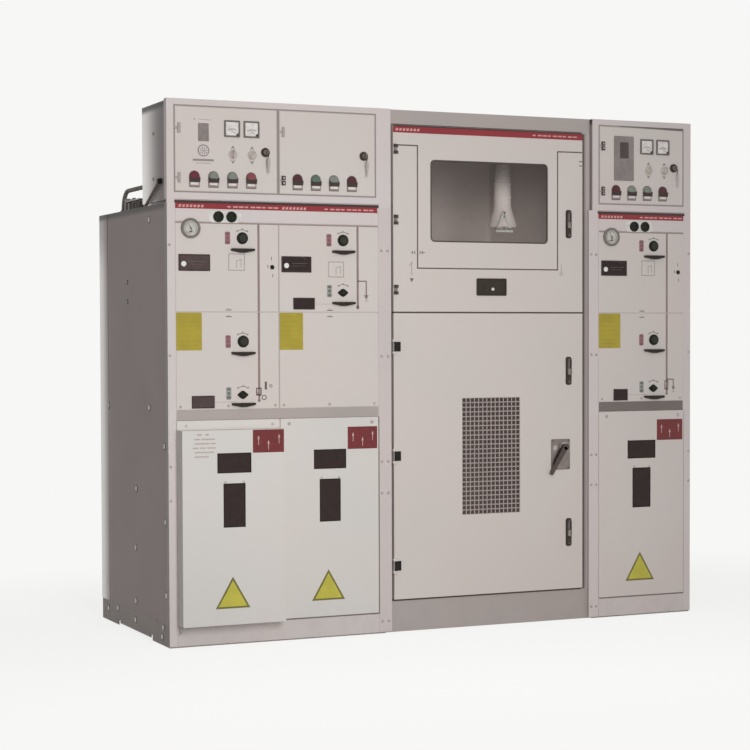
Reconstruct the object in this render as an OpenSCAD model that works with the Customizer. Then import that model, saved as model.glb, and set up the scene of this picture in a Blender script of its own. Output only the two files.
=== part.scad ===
// Line-up of three free-standing gas-insulated cabinets with instrument boxes on top.
// Left cabinet (two switch units), metering cabinet, right cabinet (one switch unit).
// X runs along the front, -Y is the front, Z is up. Origin: middle of the footprint.

/* [Line-up] */
// overall height
height = 1638; // [1500:1:1800]
// cabinet depth behind the fascia plane
depth = 721; // [600:1:900]
// set-back of the outer side panels behind the corner posts
side_in = 2; // [1:0.5:5]
// set-back of the rear panels inside their rims
back_in = 4; // [3:1:10]
// width of those rims
back_rim = 22; // [12:1:40]
// width of the rear panel's wrap on the outer sides
wrap_w = 90; // [40:1:140]
// gap between neighbouring cabinets
cabinet_gap = 2; // [1:0.5:10]
// sheet metal thickness
sheet = 2; // [1.5:0.5:4]
// width of one switch unit panel
unit_w = 330; // [280:1:420]
// outer corner post width of the left cabinet
left_post_w = 25; // [18:1:60]
// width from the last unit to the seam, left cabinet
left_seam_w = 24; // [24:1:60]
// width from the seam to the unit, right cabinet
right_seam_w = 22; // [22:1:60]
// outer corner post width of the right cabinet
right_post_w = 27; // [18:1:60]
// width of the metering cabinet
mid_w = 742; // [650:1:900]
// seam cover strip width
seam_w = 46; // [40:1:60]

/* [Switch unit levels] */
// base frame height
base_h = 67; // [50:1:90]
// kick plate clearance above the floor
kick_gap = 4; // [2:1:15]
// height of the beam between covers and lower fascia
beam_h = 33; // [20:1:60]
// height of the lower fascia
low_fascia_h = 292; // [260:1:330]
// height of the upper fascia
up_fascia_h = 267; // [240:1:300]
// height of the header with its coloured strip
header_h = 59; // [50:1:80]
// height of the coloured top strip
band_h = 18; // [10:1:25]
// overlap of the right-hand seam's strip onto the metering cabinet
seam_b_lap = 14; // [8:1:20]
// visible joint between panels
joint_gap = 3; // [1:0.5:5]

/* [Cable covers] */
// how far the deep cover stands out
cover_out = 50; // [35:1:80]
// thickness of the plates on the covers
plate_out = 0.8; // [0.5:0.1:2]
// how far the flat covers stand out
cover_flat = 3; // [2:0.5:8]
// height of the screw flange above a cover
flange_h = 28; // [20:1:40]
// left edge of the wide inspection window in a cover
wide_win_x = 111; // [90:1:120]
// width of the wide inspection window
wide_win_w = 108; // [80:1:130]
// bottom of the wide window below the cover top
wide_win_drop = 157; // [140:1:165]
// height of the wide inspection window
wide_win_h = 60; // [40:1:80]
// left edge of the tall inspection window
tall_win_x = 130; // [110:1:140]
// width of the tall inspection window
tall_win_w = 70; // [50:1:90]
// bottom of the tall window below the cover top
tall_win_drop = 320; // [310:1:340]
// height of the tall inspection window
tall_win_h = 132; // [100:1:140]
// pane thickness of the inspection windows
pane = 2; // [1.5:0.5:4]

/* [Instrument boxes] */
// depth of the instrument boxes
box_depth = 285; // [200:1:320]
// set-back of their outer side walls behind the front rim
box_in = 14; // [4:1:20]
// depth of that front rim
box_rim = 24; // [18:1:40]
// height of the instrument boxes
box_h = 298; // [270:1:330]
// rim above the instrument box doors
box_rim_top = 22; // [16:1:36]
// mullion between the two left doors
box_mullion = 8; // [6:1:20]
// rim right of the left box's doors
box_side_r = 33.5; // [20:0.5:50]
// rim right of the right box's door
box_side_c = 32; // [20:0.5:50]
// height of the recessed step under the boxes
step_h = 9; // [6:1:20]
// inset of that step
step_in = 6; // [3:1:15]
// first left door, left edge
door_a_x = 26.5; // [20:0.5:40]
// right box door, left edge from the box
door_c_x = 27; // [20:0.5:40]
// depth of an instrument door
box_door_t = 16; // [10:0.5:25]

// side hose radius
side_hose_r = 5; // [3:0.5:6.5]
// rear hose radius
rear_hose_r = 7; // [4:0.5:9]

/* [Instruments] */
// panel meter size
meter_w = 50; // [40:0.5:56]
// panel meter stand-out
meter_t = 5; // [3:0.5:10]
// meter centres below the box top
meter_drop = 84; // [76:0.5:95]
// lamp and button radius
lamp_r = 16; // [10:0.5:18]
// lamp stand-out
lamp_t = 9; // [6:0.5:15]
// lamp centres above the box bottom
lamp_up = 69; // [60:0.5:74]
// lamp spacing
lamp_pitch = 60; // [42:0.5:62]
// selector knob radius
selector_r = 14; // [10:0.5:18]
// selector stand-out
selector_t = 14; // [8:0.5:20]
// selector centres below the box top
selector_drop = 161; // [150:0.5:165]
// door lock radius
lock_r = 14; // [8:0.5:16]
// lock centres below the box top
lock_drop = 151; // [140:0.5:160]
// door lock stand-out
lock_t = 8; // [5:0.5:12]
// nameplate width under each lamp
tag_w = 30; // [20:1:40]
// nameplate height under each lamp
tag_h = 17; // [10:1:18]
// instrument door hinge from the door edge
box_hinge_x = 12; // [8:0.5:18]
// instrument door hinge height
box_hinge_h = 30; // [16:1:40]
// controller width on the right door
ctrl_w = 73; // [60:1:80]
// gap between lamps and controller
ctrl_low = 15.5; // [10:0.5:24]
// gap between the controller and the door's top edge
ctrl_high = 30.5; // [15:0.5:50]

/* [Switch operating points] */
// gas gauge radius
gauge_r = 30; // [22:0.5:36]
// gas gauge stand-out
gauge_t = 10; // [5:0.5:20]
// gas gauge centre from the unit edge
gauge_x = 48; // [40:0.5:60]
// gas gauge centre below the upper fascia's top edge
gauge_drop = 18; // [10:0.5:26]
// test socket radius
socket_r = 15; // [10:0.5:17]
// socket centres from the unit's left edge
socket_x = 136; // [125:0.5:145]
// distance between the two sockets
socket_pitch = 41.5; // [34.5:0.5:50]
// operating socket radius
knob_r = 17; // [12:0.5:20]
// operating socket centre from the unit edge
knob_x = 212; // [205:0.5:225]
// operating socket stand-out
knob_t = 8; // [5:0.5:15]
// width of the crescent lip below each operating socket
rail_w = 78; // [50:0.5:86]
// its height
rail_h = 11; // [8:0.5:14]
// its stand-out
rail_t = 14; // [8:0.5:25]
// drop from the socket centre to the lip
rail_drop = 37; // [32:0.5:42]

/* [Metering cabinet] */
// plinth height
plinth_h = 99; // [80:1:120]
// lintel height
lintel_h = 44; // [30:1:70]
// right post width
mid_post_w = 31; // [25:1:60]
// clearance round each door
door_clear = 5; // [5:0.5:8]
// door depth
door_t = 20; // [16:1:30]
// height of the upper door
up_h = 581.5; // [520:0.5:640]
// width of the stop rim behind the doors
stop_w = 25; // [15:1:40]
// space between a door back and the stop rim
stop_clear = 6; // [5:0.5:10]
// window left edge from the door edge
win_x = 128.5; // [100:0.5:150]
// window width
win_w = 422; // [350:1:450]
// window bottom above the door joint
win_z = 219.5; // [180:0.5:240]
// window height
win_h = 258; // [200:1:280]
// window corner radius
win_r = 15; // [5:1:40]
// glass thickness
glass_t = 4; // [3:0.5:6]
// grille left edge from the door edge
grille_x = 239; // [200:1:260]
// grille columns
grille_cols = 14; // [6:1:16]
// grille rows
grille_rows = 25; // [10:1:28]
// grille pitch
grille_pitch = 14.9; // [10:0.1:15.5]
// grille bar width
grille_bar = 4; // [2:0.5:6]
// grille bottom above the door edge
grille_z = 257; // [200:1:300]
// grille sheet thickness
grille_t = 2; // [1:0.5:3]
// set-back of the metering frame behind the doors
mid_in = 15; // [4:1:18]
// bushing seen through the window, radius
bushing_r = 32; // [20:1:45]
// bushing centre from the upper door's hinge edge
bushing_x = 448; // [300:1:500]
// bushing clamp height above the upper door's lower edge
bushing_up = 272.5; // [250:0.5:320]
// height of its skirt
bushing_h = 64; // [40:1:90]
// its distance behind the doors
bushing_y = 120; // [90:1:400]
// shelf between the compartments, thickness
shelf_t = 3; // [2:0.5:5]

/* [Door fittings] */
// hinge knuckle radius
hinge_r = 4.5; // [4:0.1:5]
// hinge pin radius
pin_r = 2; // [1.5:0.1:2.5]
// running clearance of each pin, radial
pin_clear = 0.05; // [0.02:0.01:0.09]
// hinge height
hinge_h = 30; // [20:1:50]
// hinge leaf width
leaf_w = 18; // [12:1:30]
// top latch below the lower door's top edge
latch_top = 186.5; // [120:0.5:240]
// bottom latch above the lower door's bottom edge
latch_low = 185; // [120:0.5:240]
// latch width
latch_w = 22; // [14:1:30]
// latch height
latch_h = 92; // [60:1:110]
// latch stand-out
latch_t = 8; // [4:0.5:15]
// latch centre from the door's right edge
latch_x = 52; // [45:0.5:70]
// lever pivot from the door's right edge
lever_x = 69.5; // [60:0.5:80]
// lever pivot above the middle of the lower door
lever_up = 15.25; // [0:0.25:60]
// lever length
lever_len = 105; // [70:1:120]
// lever thickness
lever_t = 9; // [6:0.5:14]
// lever width
lever_w = 16; // [10:0.5:22]
// lever angle from straight down
lever_ang = 32; // [0:1:45]
// lever spindle radius
spindle_r = 7; // [5:0.5:9]
// handle plate width
plate_w = 70; // [50:1:80]
// handle plate height
plate_h = 100; // [80:1:110]
// handle plate thickness
plate_t = 4; // [3:0.5:6]
// space between the handle plate and the lever
lever_gap = 5; // [5:0.5:10]

/* [Floor fixing] */
// relief under the outer side sills, height
relief_h = 7; // [4:0.5:12]
// start of that relief behind the front
relief_y = 176; // [155:1:220]
// width of the deeper notch at each end of the relief
relief_w = 18; // [8:1:30]
// anchor hole radius
anchor_r = 7; // [5:0.5:9]
// anchor hole from the cabinet sides
anchor_x = 40; // [30:1:60]
// anchor hole from front and rear
anchor_y = 60; // [40:1:90]
// corner pad size
pad = 90; // [70:1:120]
// corner pad thickness
pad_t = 5; // [4:1:8]

/* [Hidden] */
$fn = 64;
box_z = height - box_h;
body_h = box_z - step_h;
header_z = body_h - header_h;
fascia_joint = header_z - up_fascia_h;
fascia_z = fascia_joint - low_fascia_h;
cover_top = fascia_z - beam_h;
wide_win_z = cover_top - wide_win_drop;
tall_win_z = cover_top - tall_win_drop;
box_door_z = box_z + box_rim;
box_door_h = height - box_rim_top - box_door_z;
meter_z = height - meter_drop;
selector_z = height - selector_drop;
lock_z = height - lock_drop;
lamp_z = box_z + lamp_up;
ctrl_z = lamp_z + lamp_r + ctrl_low;
ctrl_h = height - box_rim_top - ctrl_high - ctrl_z;
gauge_z = header_z - gauge_drop;
left_w = left_post_w + 2 * unit_w + left_seam_w;
right_w = right_seam_w + unit_w + right_post_w;
mid_x = left_w + cabinet_gap;
right_x = mid_x + mid_w + cabinet_gap;
total_w = right_x + right_w;
unit_a = left_post_w;
unit_b = left_post_w + unit_w;
unit_c = right_x + right_seam_w;
door_a_w = unit_w - 2 * joint_gap;
door_b_x = door_a_x + door_a_w + box_mullion;
door_b_w = left_w - box_side_r - door_b_x;
door_c_w = right_w - box_side_c - door_c_x;
seam_a = left_w + cabinet_gap / 2 - seam_w / 2;
seam_b = right_x - seam_b_lap;
seam_b_w = unit_c - seam_b;
skin = sheet;
door_x = seam_a + seam_w + door_clear;
door_r = mid_x + mid_w - mid_post_w - door_clear;
door_w = door_r - door_x;
low_z = plinth_h + door_clear;
up_z = height - lintel_h - door_clear - up_h;
door_joint = up_z - door_clear / 2;
low_h = door_joint - door_clear / 2 - low_z;
lever_z = low_z + low_h / 2 + lever_up;
bushing_z = up_z + bushing_up;
up_hinges = [up_z + up_h - 75, up_z + up_h / 2 - 4.25, up_z + 68.5];
low_hinges = [low_z + low_h - 104.5, low_z + low_h / 2 + 1.75, low_z + 106];
stop_y = door_t + stop_clear;
hinge_x = door_x + 5;
hinge_y = -hinge_r;
pivot_x = door_r - lever_x;
rail_r = (rail_w * rail_w / 4 + rail_h * rail_h) / (2 * rail_h);
box_hinges = [box_door_z + 40, box_door_z + box_door_h - 65];
hose_x = box_in / 2;
hose_back = [30, box_depth, box_z + 58];
hose_run = 200;
hose_bend = 56;
e = 0.01;

module placed() {
  translate([-total_w / 2, -(depth - cover_out - plate_out) / 2, 0]) children();
}

// a plate facing the front, from y0 backwards
module slab(x, z, w, h, y0, t) {
  translate([x, y0, z]) cube([w, t, h]);
}

// a round boss standing out of a face at y0
module boss(x, z, r, y0, t) {
  translate([x, y0, z]) rotate([90, 0, 0]) cylinder(r = r, h = t);
}

// side walls, back and roof
module case_shell(x, w, z0, z1, y0) {
  difference() {
    union() {
      difference() {
        translate([x, y0, z0]) cube([w, depth - y0, z1 - z0]);
        translate([x + sheet, -1, z0 - 1]) cube([w - 2 * sheet, depth - sheet + 1, z1 - z0 - sheet + 1]);
      }
      translate([x + back_rim - sheet, depth - back_in - sheet, z0 + back_rim - sheet])
        cube([w - 2 * (back_rim - sheet), back_in + sheet, z1 - z0 - 2 * (back_rim - sheet)]);
    }
    translate([x + back_rim, depth - back_in, z0 + back_rim])
      cube([w - 2 * back_rim, back_in + 10, z1 - z0 - 2 * back_rim]);
  }
}

// base ring with floor plate, cable slot and corner pads; relief under an outer side at xr
module base_frame(x, w, h, y0, xr) {
  difference() {
    translate([x, y0, 0]) cube([w, depth - y0, h]);
    translate([xr, relief_y, -1]) cube([8, depth - 183 - relief_y, relief_h + 1]);
    for (y = [relief_y, depth - 183 - relief_w])
      translate([xr, y, -1]) cube([8, relief_w, 2.4 * relief_h + 1]);
    translate([x + 3, y0 + 3, -1]) cube([w - 6, depth - y0 - 6, h - 3 + 1]);
    translate([x + 70, 200, h - 10]) cube([w - 140, depth - 400, 20]);
  }
  difference() {
    union() {
      for (i = [0, 1])
        for (j = [0, 1])
          translate([x + 3 + i * (w - 6 - pad), y0 + 3 + j * (depth - y0 - 6 - pad), 0]) cube([pad, pad, pad_t]);
    }
    for (i = [0, 1])
      for (j = [0, 1])
        translate([x + anchor_x + i * (w - 2 * anchor_x), anchor_y + j * (depth - 2 * anchor_y), -1])
          cylinder(r = anchor_r, h = pad_t + 2);
  }
}

// front frame behind the fascias of n units
module front_frame(x, w, ux, n) {
  rotate([90, 0, 0]) translate([0, 0, -skin - sheet]) linear_extrude(sheet) difference() {
    translate([x, kick_gap]) square([w, body_h - kick_gap]);
    for (k = [0:n - 1]) {
      translate([ux + k * unit_w + 20, base_h + 15]) square([unit_w - 40, cover_top - base_h - 30]);
      translate([ux + k * unit_w + 20, fascia_z + 15]) square([unit_w - 40, header_z - fascia_z - 30]);
    }
  }
}

// raised trim on the front frame: header, beam, kick plate, posts
module front_trim(x0, x1, ux, n) {
  slab(ux + joint_gap / 2, header_z + joint_gap, n * unit_w - joint_gap, body_h - band_h - header_z - joint_gap, 0, skin);
  slab(ux + joint_gap / 2, kick_gap, n * unit_w - joint_gap, base_h - kick_gap - joint_gap, 0, skin);
}

module fascia(ux, z0, z1) {
  slab(ux + joint_gap / 2, z0, unit_w - joint_gap, z1 - z0, 0, skin);
}

module cover_windows(ux, y0, t) {
  slab(ux + wide_win_x, wide_win_z, wide_win_w, wide_win_h, y0, t);
  slab(ux + tall_win_x, tall_win_z, tall_win_w, tall_win_h, y0, t);
}

module cover_panes(ux, y0) {
  slab(ux + wide_win_x - 8, wide_win_z - 8, wide_win_w + 16, wide_win_h + 16, y0, pane);
  slab(ux + tall_win_x - 8, tall_win_z - 8, tall_win_w + 16, tall_win_h + 16, y0, pane);
}

// flat cable cover
module flat_cover(ux) {
  difference() {
    slab(ux + joint_gap / 2, base_h, unit_w - joint_gap, cover_top - base_h, -cover_flat, cover_flat + skin - e);
    cover_windows(ux, -cover_flat - 1, cover_flat + skin + 2);
    slab(ux + wide_win_x - 10, wide_win_z - 10, wide_win_w + 20, wide_win_h + 20, -cover_flat + sheet, 20);
    slab(ux + tall_win_x - 10, tall_win_z - 10, tall_win_w + 20, tall_win_h + 20, -cover_flat + sheet, 20);
  }
}

// instrument box shell with door cut-outs, outer side wall set back by in0 or in1
module box_shell(x, w, in0, in1) {
  difference() {
    union() {
      translate([x, 0, box_z]) cube([w, box_rim, box_h]);
      translate([x + in0, 1, box_z]) cube([w - in0 - in1, box_depth - 1, box_h]);
      translate([x + in0 + step_in, step_in, body_h]) cube([w - in0 - in1 - 2 * step_in, box_depth - 2 * step_in, step_h + e]);
    }
    translate([x + sheet, sheet, box_z + sheet]) cube([w - 2 * sheet, box_rim - 2 * sheet, box_h - 2 * sheet]);
    translate([x + in0 + sheet, sheet + 1, box_z + sheet])
      cube([w - in0 - in1 - 2 * sheet, box_depth - 2 * sheet - 1, box_h - 2 * sheet]);
    children();
  }
}

module door_hole(x, w) {
  slab(x - joint_gap / 2, box_door_z - joint_gap / 2, w + joint_gap, box_door_h + joint_gap, -1, sheet + 2);
}

// shallow pan: front sheet with a rim turned back
module pan(x, z, w, h, t) {
  difference() {
    slab(x, z, w, h, 0, t);
    slab(x + sheet, z + sheet, w - 2 * sheet, h - 2 * sheet, sheet, t);
  }
}

// instrument box door, hung in its cut-out by two tabs on the inside
module box_door(x, w) {
  tab = (box_mullion - 1) / 2;
  pan(x, box_door_z, w, box_door_h, box_door_t);
  for (s = [0, 1])
    slab(x - tab + s * (w + 2 * tab - 16), box_door_z + box_door_h / 2 - 30, 16, 60, sheet, sheet);
  for (z = box_hinges) {
    slab(x - 2, z - 4, box_hinge_x, 8, -2, 2 + e);
    slab(x + box_hinge_x - 4, z - box_hinge_h / 2, 8, box_hinge_h, -5, 5 + e);
  }
}

module meter_pair(x0) {
  for (k = [0, 1])
    slab(x0 + k * 62 - meter_w / 2, meter_z - meter_w / 2, meter_w, meter_w, -meter_t, meter_t);
}

module lamp_row(x0) {
  for (k = [0:3]) {
    boss(x0 + k * lamp_pitch, lamp_z, lamp_r, 0, lamp_t);
    slab(x0 + k * lamp_pitch - tag_w / 2, lamp_z - lamp_r - tag_h - 0.5, tag_w, tag_h, -3, 3);
  }
}

module selector_pair(x0) {
  for (k = [0, 1]) {
    boss(x0 + k * 61, selector_z, selector_r, 0, 4);
    slab(x0 + k * 61 - 4, selector_z - selector_r + 2, 8, 2 * selector_r - 4, -selector_t, selector_t - 4 + e);
  }
}

// cylinder lock with its key hanging on a ring
module key_lock(x) {
  boss(x, lock_z, lock_r, 0, lock_t);
  slab(x - 1.2, lock_z - 8, 2.4, 16, -lock_t - 16, 16 + e);
  slab(x + 1.2 - e, lock_z - 64, 7, 62, -lock_t - 13, 3);
}

module operating_point(ux, z) {
  boss(ux + knob_x, z, knob_r, 0, knob_t);
}

// pair of round sockets on the header
module sockets(ux) {
  for (k = [0, 1])
    boss(ux + socket_x + k * socket_pitch, header_z + 18, socket_r, 0, 6);
}

// crescent lip: flat on top, round below
module operating_rail(ux, z) {
  top = z - rail_drop + rail_h / 2;
  difference() {
    boss(ux + knob_x, top - rail_h + rail_r, rail_r, 0, rail_t);
    slab(ux + knob_x - 2 * rail_r, top, 4 * rail_r, 4 * rail_r, -rail_t - 1, rail_t + 2);
  }
}

module gas_gauge(ux) {
  difference() {
    boss(ux + gauge_x, gauge_z, gauge_r, 0, gauge_t);
    boss(ux + gauge_x, gauge_z, gauge_r - 5, -gauge_t + 3, gauge_t);
  }
}

module left_case() color([0.62, 0.59, 0.57]) placed() {
  case_shell(side_in, left_w - side_in, base_h, body_h, skin + sheet);
  translate([0, depth - wrap_w, base_h]) cube([side_in + e, wrap_w, body_h - base_h]);
}

module left_base() color([0.55, 0.52, 0.5]) placed() base_frame(side_in, left_w - side_in, base_h, skin + sheet, -1);

module left_frame() color([0.8, 0.78, 0.76]) placed() {
  front_frame(0, left_w, unit_a, 2);
  slab(0, kick_gap, left_post_w - joint_gap / 2, body_h - kick_gap, 0, skin);
  translate([0, skin, base_h]) cube([side_in, 22, body_h - base_h]);
  front_trim(0, left_w, unit_a, 2);
}

module left_band() color([0.6, 0.25, 0.27]) placed()
  slab(unit_a + joint_gap / 2, body_h - band_h, 2 * unit_w - joint_gap, band_h, 0, skin);

module fascia_a_up() color([0.83, 0.8, 0.78]) placed() fascia(unit_a, fascia_joint + joint_gap / 2, header_z);

module fascia_a_low() color([0.83, 0.8, 0.78]) placed() fascia(unit_a, fascia_z, fascia_joint - joint_gap / 2);

module fascia_b_up() color([0.83, 0.8, 0.78]) placed() fascia(unit_b, fascia_joint + joint_gap / 2, header_z);

module fascia_b_low() color([0.83, 0.8, 0.78]) placed() fascia(unit_b, fascia_z, fascia_joint - joint_gap / 2);

module cover_a() color([0.8, 0.77, 0.75]) placed() {
  difference() {
    slab(unit_a + joint_gap / 2, base_h, unit_w - joint_gap, cover_top - flange_h - base_h, -cover_out, cover_out);
    slab(unit_a + joint_gap / 2 + sheet, base_h + sheet, unit_w - joint_gap - 2 * sheet,
      cover_top - flange_h - base_h - 2 * sheet, -cover_out + sheet, cover_out + 1);
    cover_windows(unit_a, -cover_out - 1, sheet + 2);
  }
  slab(unit_a + joint_gap / 2, cover_top - flange_h - sheet, unit_w - joint_gap, flange_h + sheet, -sheet + e, sheet + skin - 2 * e);
}

// plain coloured plates: a rectangle high on each cover and a triangle low on it
module cover_plates(ux, y0) {
  slab(ux + unit_w - 106, cover_top - 98, 100, 69, y0 - plate_out, plate_out);
  translate([ux + 158, y0, base_h + 50]) rotate([90, 0, 0]) linear_extrude(plate_out)
    polygon([[-55, 0], [55, 0], [0, 95]]);
}

module plates() color([0.5, 0.2, 0.2]) placed() {
  cover_plates(unit_a, -cover_out);
  cover_plates(unit_b, -cover_flat);
  cover_plates(unit_c, -cover_flat);
}

module gusset_a() color([0.8, 0.77, 0.75]) placed()
  translate([unit_a + joint_gap / 2 + 4, 0, 0]) rotate([90, 0, 90]) linear_extrude(sheet)
    polygon([[0, base_h - joint_gap], [0, base_h - 30], [-cover_out + 8, base_h - joint_gap]]);

module cover_b() color([0.8, 0.77, 0.75]) placed() flat_cover(unit_b);

module panes_left() color([0.25, 0.2, 0.2, 0.6]) placed() {
  cover_panes(unit_a, -cover_out + sheet);
  cover_panes(unit_b, -cover_flat + sheet);
}

module left_box() color([0.83, 0.8, 0.78]) placed() box_shell(0, left_w, box_in, 0) {
  door_hole(door_a_x, door_a_w);
  door_hole(door_b_x, door_b_w);
}

module box_door_a() color([0.84, 0.81, 0.79]) placed() box_door(door_a_x, door_a_w);

module box_door_b() color([0.84, 0.81, 0.79]) placed() box_door(door_b_x, door_b_w);

module left_meters() color([0.1, 0.1, 0.1]) placed() meter_pair(door_a_x + door_a_w - 144.5);

module left_lamps() color([0.5, 0.2, 0.2]) placed() {
  lamp_row(door_a_x + 60);
  lamp_row(door_b_x + 58.5);
}

module left_selectors() color([0.85, 0.85, 0.85]) placed() selector_pair(door_a_x + door_a_w - 141.5);

module left_locks() color([0.6, 0.6, 0.6]) placed() {
  key_lock(door_a_x + door_a_w - 38);
  key_lock(door_b_x + door_b_w - 38);
}

module left_gauge() color([0.5, 0.5, 0.5]) placed() gas_gauge(unit_a);

module left_knobs() color([0.45, 0.45, 0.45]) placed() {
  for (z = [header_z - 45, fascia_joint - 89, fascia_z + 42])
    operating_point(unit_a, z);
  for (z = [header_z - 46, fascia_joint + 60])
    operating_point(unit_b, z);
  sockets(unit_a);
}

module left_rails() color([0.3, 0.3, 0.3]) placed() {
  for (z = [header_z - 45, fascia_joint - 89, fascia_z + 49])
    operating_rail(unit_a, z);
  for (z = [header_z - 46, fascia_joint + 63])
    operating_rail(unit_b, z);
}

// straight run of hose between two points
module run_between(a, b, r) {
  d = b - a;
  n = norm(d);
  translate(a) rotate([0, acos(d[2] / n), atan2(d[1], d[0])]) cylinder(r = r, h = n);
}

module left_conduit() color([0.1, 0.1, 0.1]) placed() {
  // side hose: from the gland on the box down to the roof
  translate([0, 92, box_z + 59]) rotate([0, 90, 0]) cylinder(r = 9, h = box_in);
  difference() {
    run_between([hose_x, 92, box_z + 59], [hose_x, 246, body_h - 6], side_hose_r);
    translate([-10, 0, body_h - 60]) cube([60, box_depth + 100, 60]);
  }
  // rear hose: from the rear wall to the roof gland
  translate(hose_back) rotate([-90, 0, 0]) cylinder(r = rear_hose_r, h = hose_run);
  translate(hose_back + [0, hose_run, -hose_bend]) rotate([90, 0, 90]) rotate_extrude(angle = 90)
    translate([hose_bend, 0]) circle(r = rear_hose_r);
  translate([hose_back[0], box_depth + hose_run + hose_bend, body_h]) {
    cylinder(r = rear_hose_r, h = hose_back[2] - hose_bend - body_h);
    cylinder(r = rear_hose_r + 5, h = 8);
  }
  translate(hose_back) rotate([-90, 0, 0]) cylinder(r = rear_hose_r + 5, h = 14);
}

module seam_strip_a() color([0.85, 0.82, 0.8]) placed() slab(seam_a, kick_gap, seam_w, body_h - kick_gap, 0, skin);

module seam_strip_b() color([0.85, 0.82, 0.8]) placed() slab(seam_b, kick_gap, seam_b_w, body_h - kick_gap, 0, skin);

module mid_case() color([0.7, 0.67, 0.65]) placed() case_shell(mid_x, mid_w, plinth_h - 20, height, mid_in + sheet);

module mid_base() color([0.6, 0.57, 0.55]) placed() base_frame(mid_x, mid_w, plinth_h - 20, mid_in + sheet, -20);

module mid_shelf() color([0.6, 0.6, 0.6]) placed()
  translate([mid_x + sheet, stop_y + sheet, door_joint - shelf_t / 2])
    cube([mid_w - 2 * sheet, depth - back_in - 2 * sheet - stop_y, shelf_t]);

module mid_frame() color([0.72, 0.69, 0.67]) placed() {
  ax = seam_a + seam_w;
  aw = mid_x + mid_w - mid_post_w - ax;
  az = plinth_h;
  ah = height - lintel_h - az;
  rotate([90, 0, 0]) translate([0, 0, -mid_in - sheet]) linear_extrude(sheet) difference() {
    translate([mid_x, 0]) square([mid_w, height]);
    translate([ax, az]) square([aw, ah]);
  }
  rotate([90, 0, 0]) translate([0, 0, -stop_y - sheet]) linear_extrude(stop_y + sheet - mid_in) difference() {
    translate([ax - sheet, az - sheet]) square([aw + 2 * sheet, ah + 2 * sheet]);
    translate([ax, az]) square([aw, ah]);
  }
  rotate([90, 0, 0]) translate([0, 0, -stop_y - sheet]) linear_extrude(sheet) difference() {
    translate([ax - sheet, az - sheet]) square([aw + 2 * sheet, ah + 2 * sheet]);
    translate([ax + stop_w, az + stop_w]) square([aw - 2 * stop_w, door_joint - stop_w - az - stop_w]);
    translate([ax + stop_w, door_joint + stop_w]) square([aw - 2 * stop_w, az + ah - door_joint - 2 * stop_w]);
  }
}

module mid_band() color([0.6, 0.25, 0.27]) placed()
  slab(door_x, up_z + up_h - 6 - 16, door_w, 16, -1, 1);

module upper_door() color([0.78, 0.75, 0.73]) placed() {
  difference() {
    pan(door_x, up_z, door_w, up_h, door_t);
    rotate([90, 0, 0]) translate([0, 0, -10]) linear_extrude(20)
      rounded(door_x + win_x, up_z + win_z, win_w, win_h, win_r);
  }
  // bolted back to the stop rim
  for (k = [0.15, 0.85])
    slab(door_x + 4, up_z + up_h * k - 20, 12, 40, door_t - e, stop_clear + e);
  for (k = [0.15, 0.85])
    slab(door_r - 16, up_z + up_h * k - 20, 12, 40, door_t - e, stop_clear + e);
}

// rounded rectangle
module rounded(x, z, w, h, r) {
  union() {
    translate([x + r, z]) square([w - 2 * r, h]);
    translate([x, z + r]) square([w, h - 2 * r]);
    for (i = [r, w - r])
      for (j = [r, h - r])
        translate([x + i, z + j]) circle(r = r);
  }
}

module window() color([0.7, 0.75, 0.75, 0.4]) placed()
  slab(door_x + win_x - 15, up_z + win_z - 15, win_w + 30, win_h + 30, sheet, glass_t);

module hinge_leaf(z, bore) {
  difference() {
    union() {
      translate([hinge_x, hinge_y, z - hinge_h / 2]) cylinder(r = hinge_r, h = hinge_h);
      slab(hinge_x, z - hinge_h / 2, leaf_w, hinge_h, -3, 3);
    }
    if (bore)
      translate([hinge_x, hinge_y, z - hinge_h]) cylinder(r = pin_r + pin_clear, h = 2 * hinge_h);
  }
}

module latch(z) {
  slab(door_r - latch_x - latch_w / 2, z - latch_h / 2, latch_w, latch_h, -latch_t, latch_t);
}

module upper_fittings() color([0.6, 0.58, 0.56]) placed() {
  for (z = up_hinges)
    hinge_leaf(z, false);
  latch(up_hinges[1] - 1);
  slab(door_x + 290.5, up_z + 51.5, 107, 55, -5, 5);
}

// bushing hanging from the roof behind the window, with its clamp
module insulator() color([0.92, 0.92, 0.9]) placed()
  translate([door_x + bushing_x, bushing_y, 0]) {
    translate([0, 0, height - sheet - 8]) cylinder(r = bushing_r + 25, h = 8);
    translate([0, 0, bushing_z + bushing_h]) cylinder(r = bushing_r, h = height - sheet - 8 - bushing_z - bushing_h);
    translate([0, 0, bushing_z]) cylinder(r1 = bushing_r * 1.52, r2 = bushing_r, h = bushing_h);
    translate([0, 0, bushing_z - 18]) cylinder(r = bushing_r * 0.75, h = 18);
  }

module lower_door() color([0.78, 0.75, 0.73]) placed() {
  gw = grille_cols * grille_pitch;
  gh = grille_rows * grille_pitch;
  difference() {
    union() {
      pan(door_x, low_z, door_w, low_h, door_t);
      for (z = low_hinges)
        hinge_leaf(z, true);
    }
    slab(door_x + grille_x, low_z + grille_z, gw, gh, -1, sheet + 2);
    boss(pivot_x, lever_z, spindle_r + pin_clear, 10, 30);
  }
}

module grille() color([0.5, 0.48, 0.47]) placed() {
  gw = grille_cols * grille_pitch;
  gh = grille_rows * grille_pitch;
  hole = grille_pitch - grille_bar;
  rotate([90, 0, 0]) translate([door_x + grille_x, low_z + grille_z, -sheet - grille_t]) linear_extrude(grille_t) difference() {
    translate([-10, -10]) square([gw + 20, gh + 20]);
    for (i = [0:grille_cols - 1])
      for (j = [0:grille_rows - 1])
        translate([i * grille_pitch + grille_bar / 2, j * grille_pitch + grille_bar / 2]) square([hole, hole]);
  }
}

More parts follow.
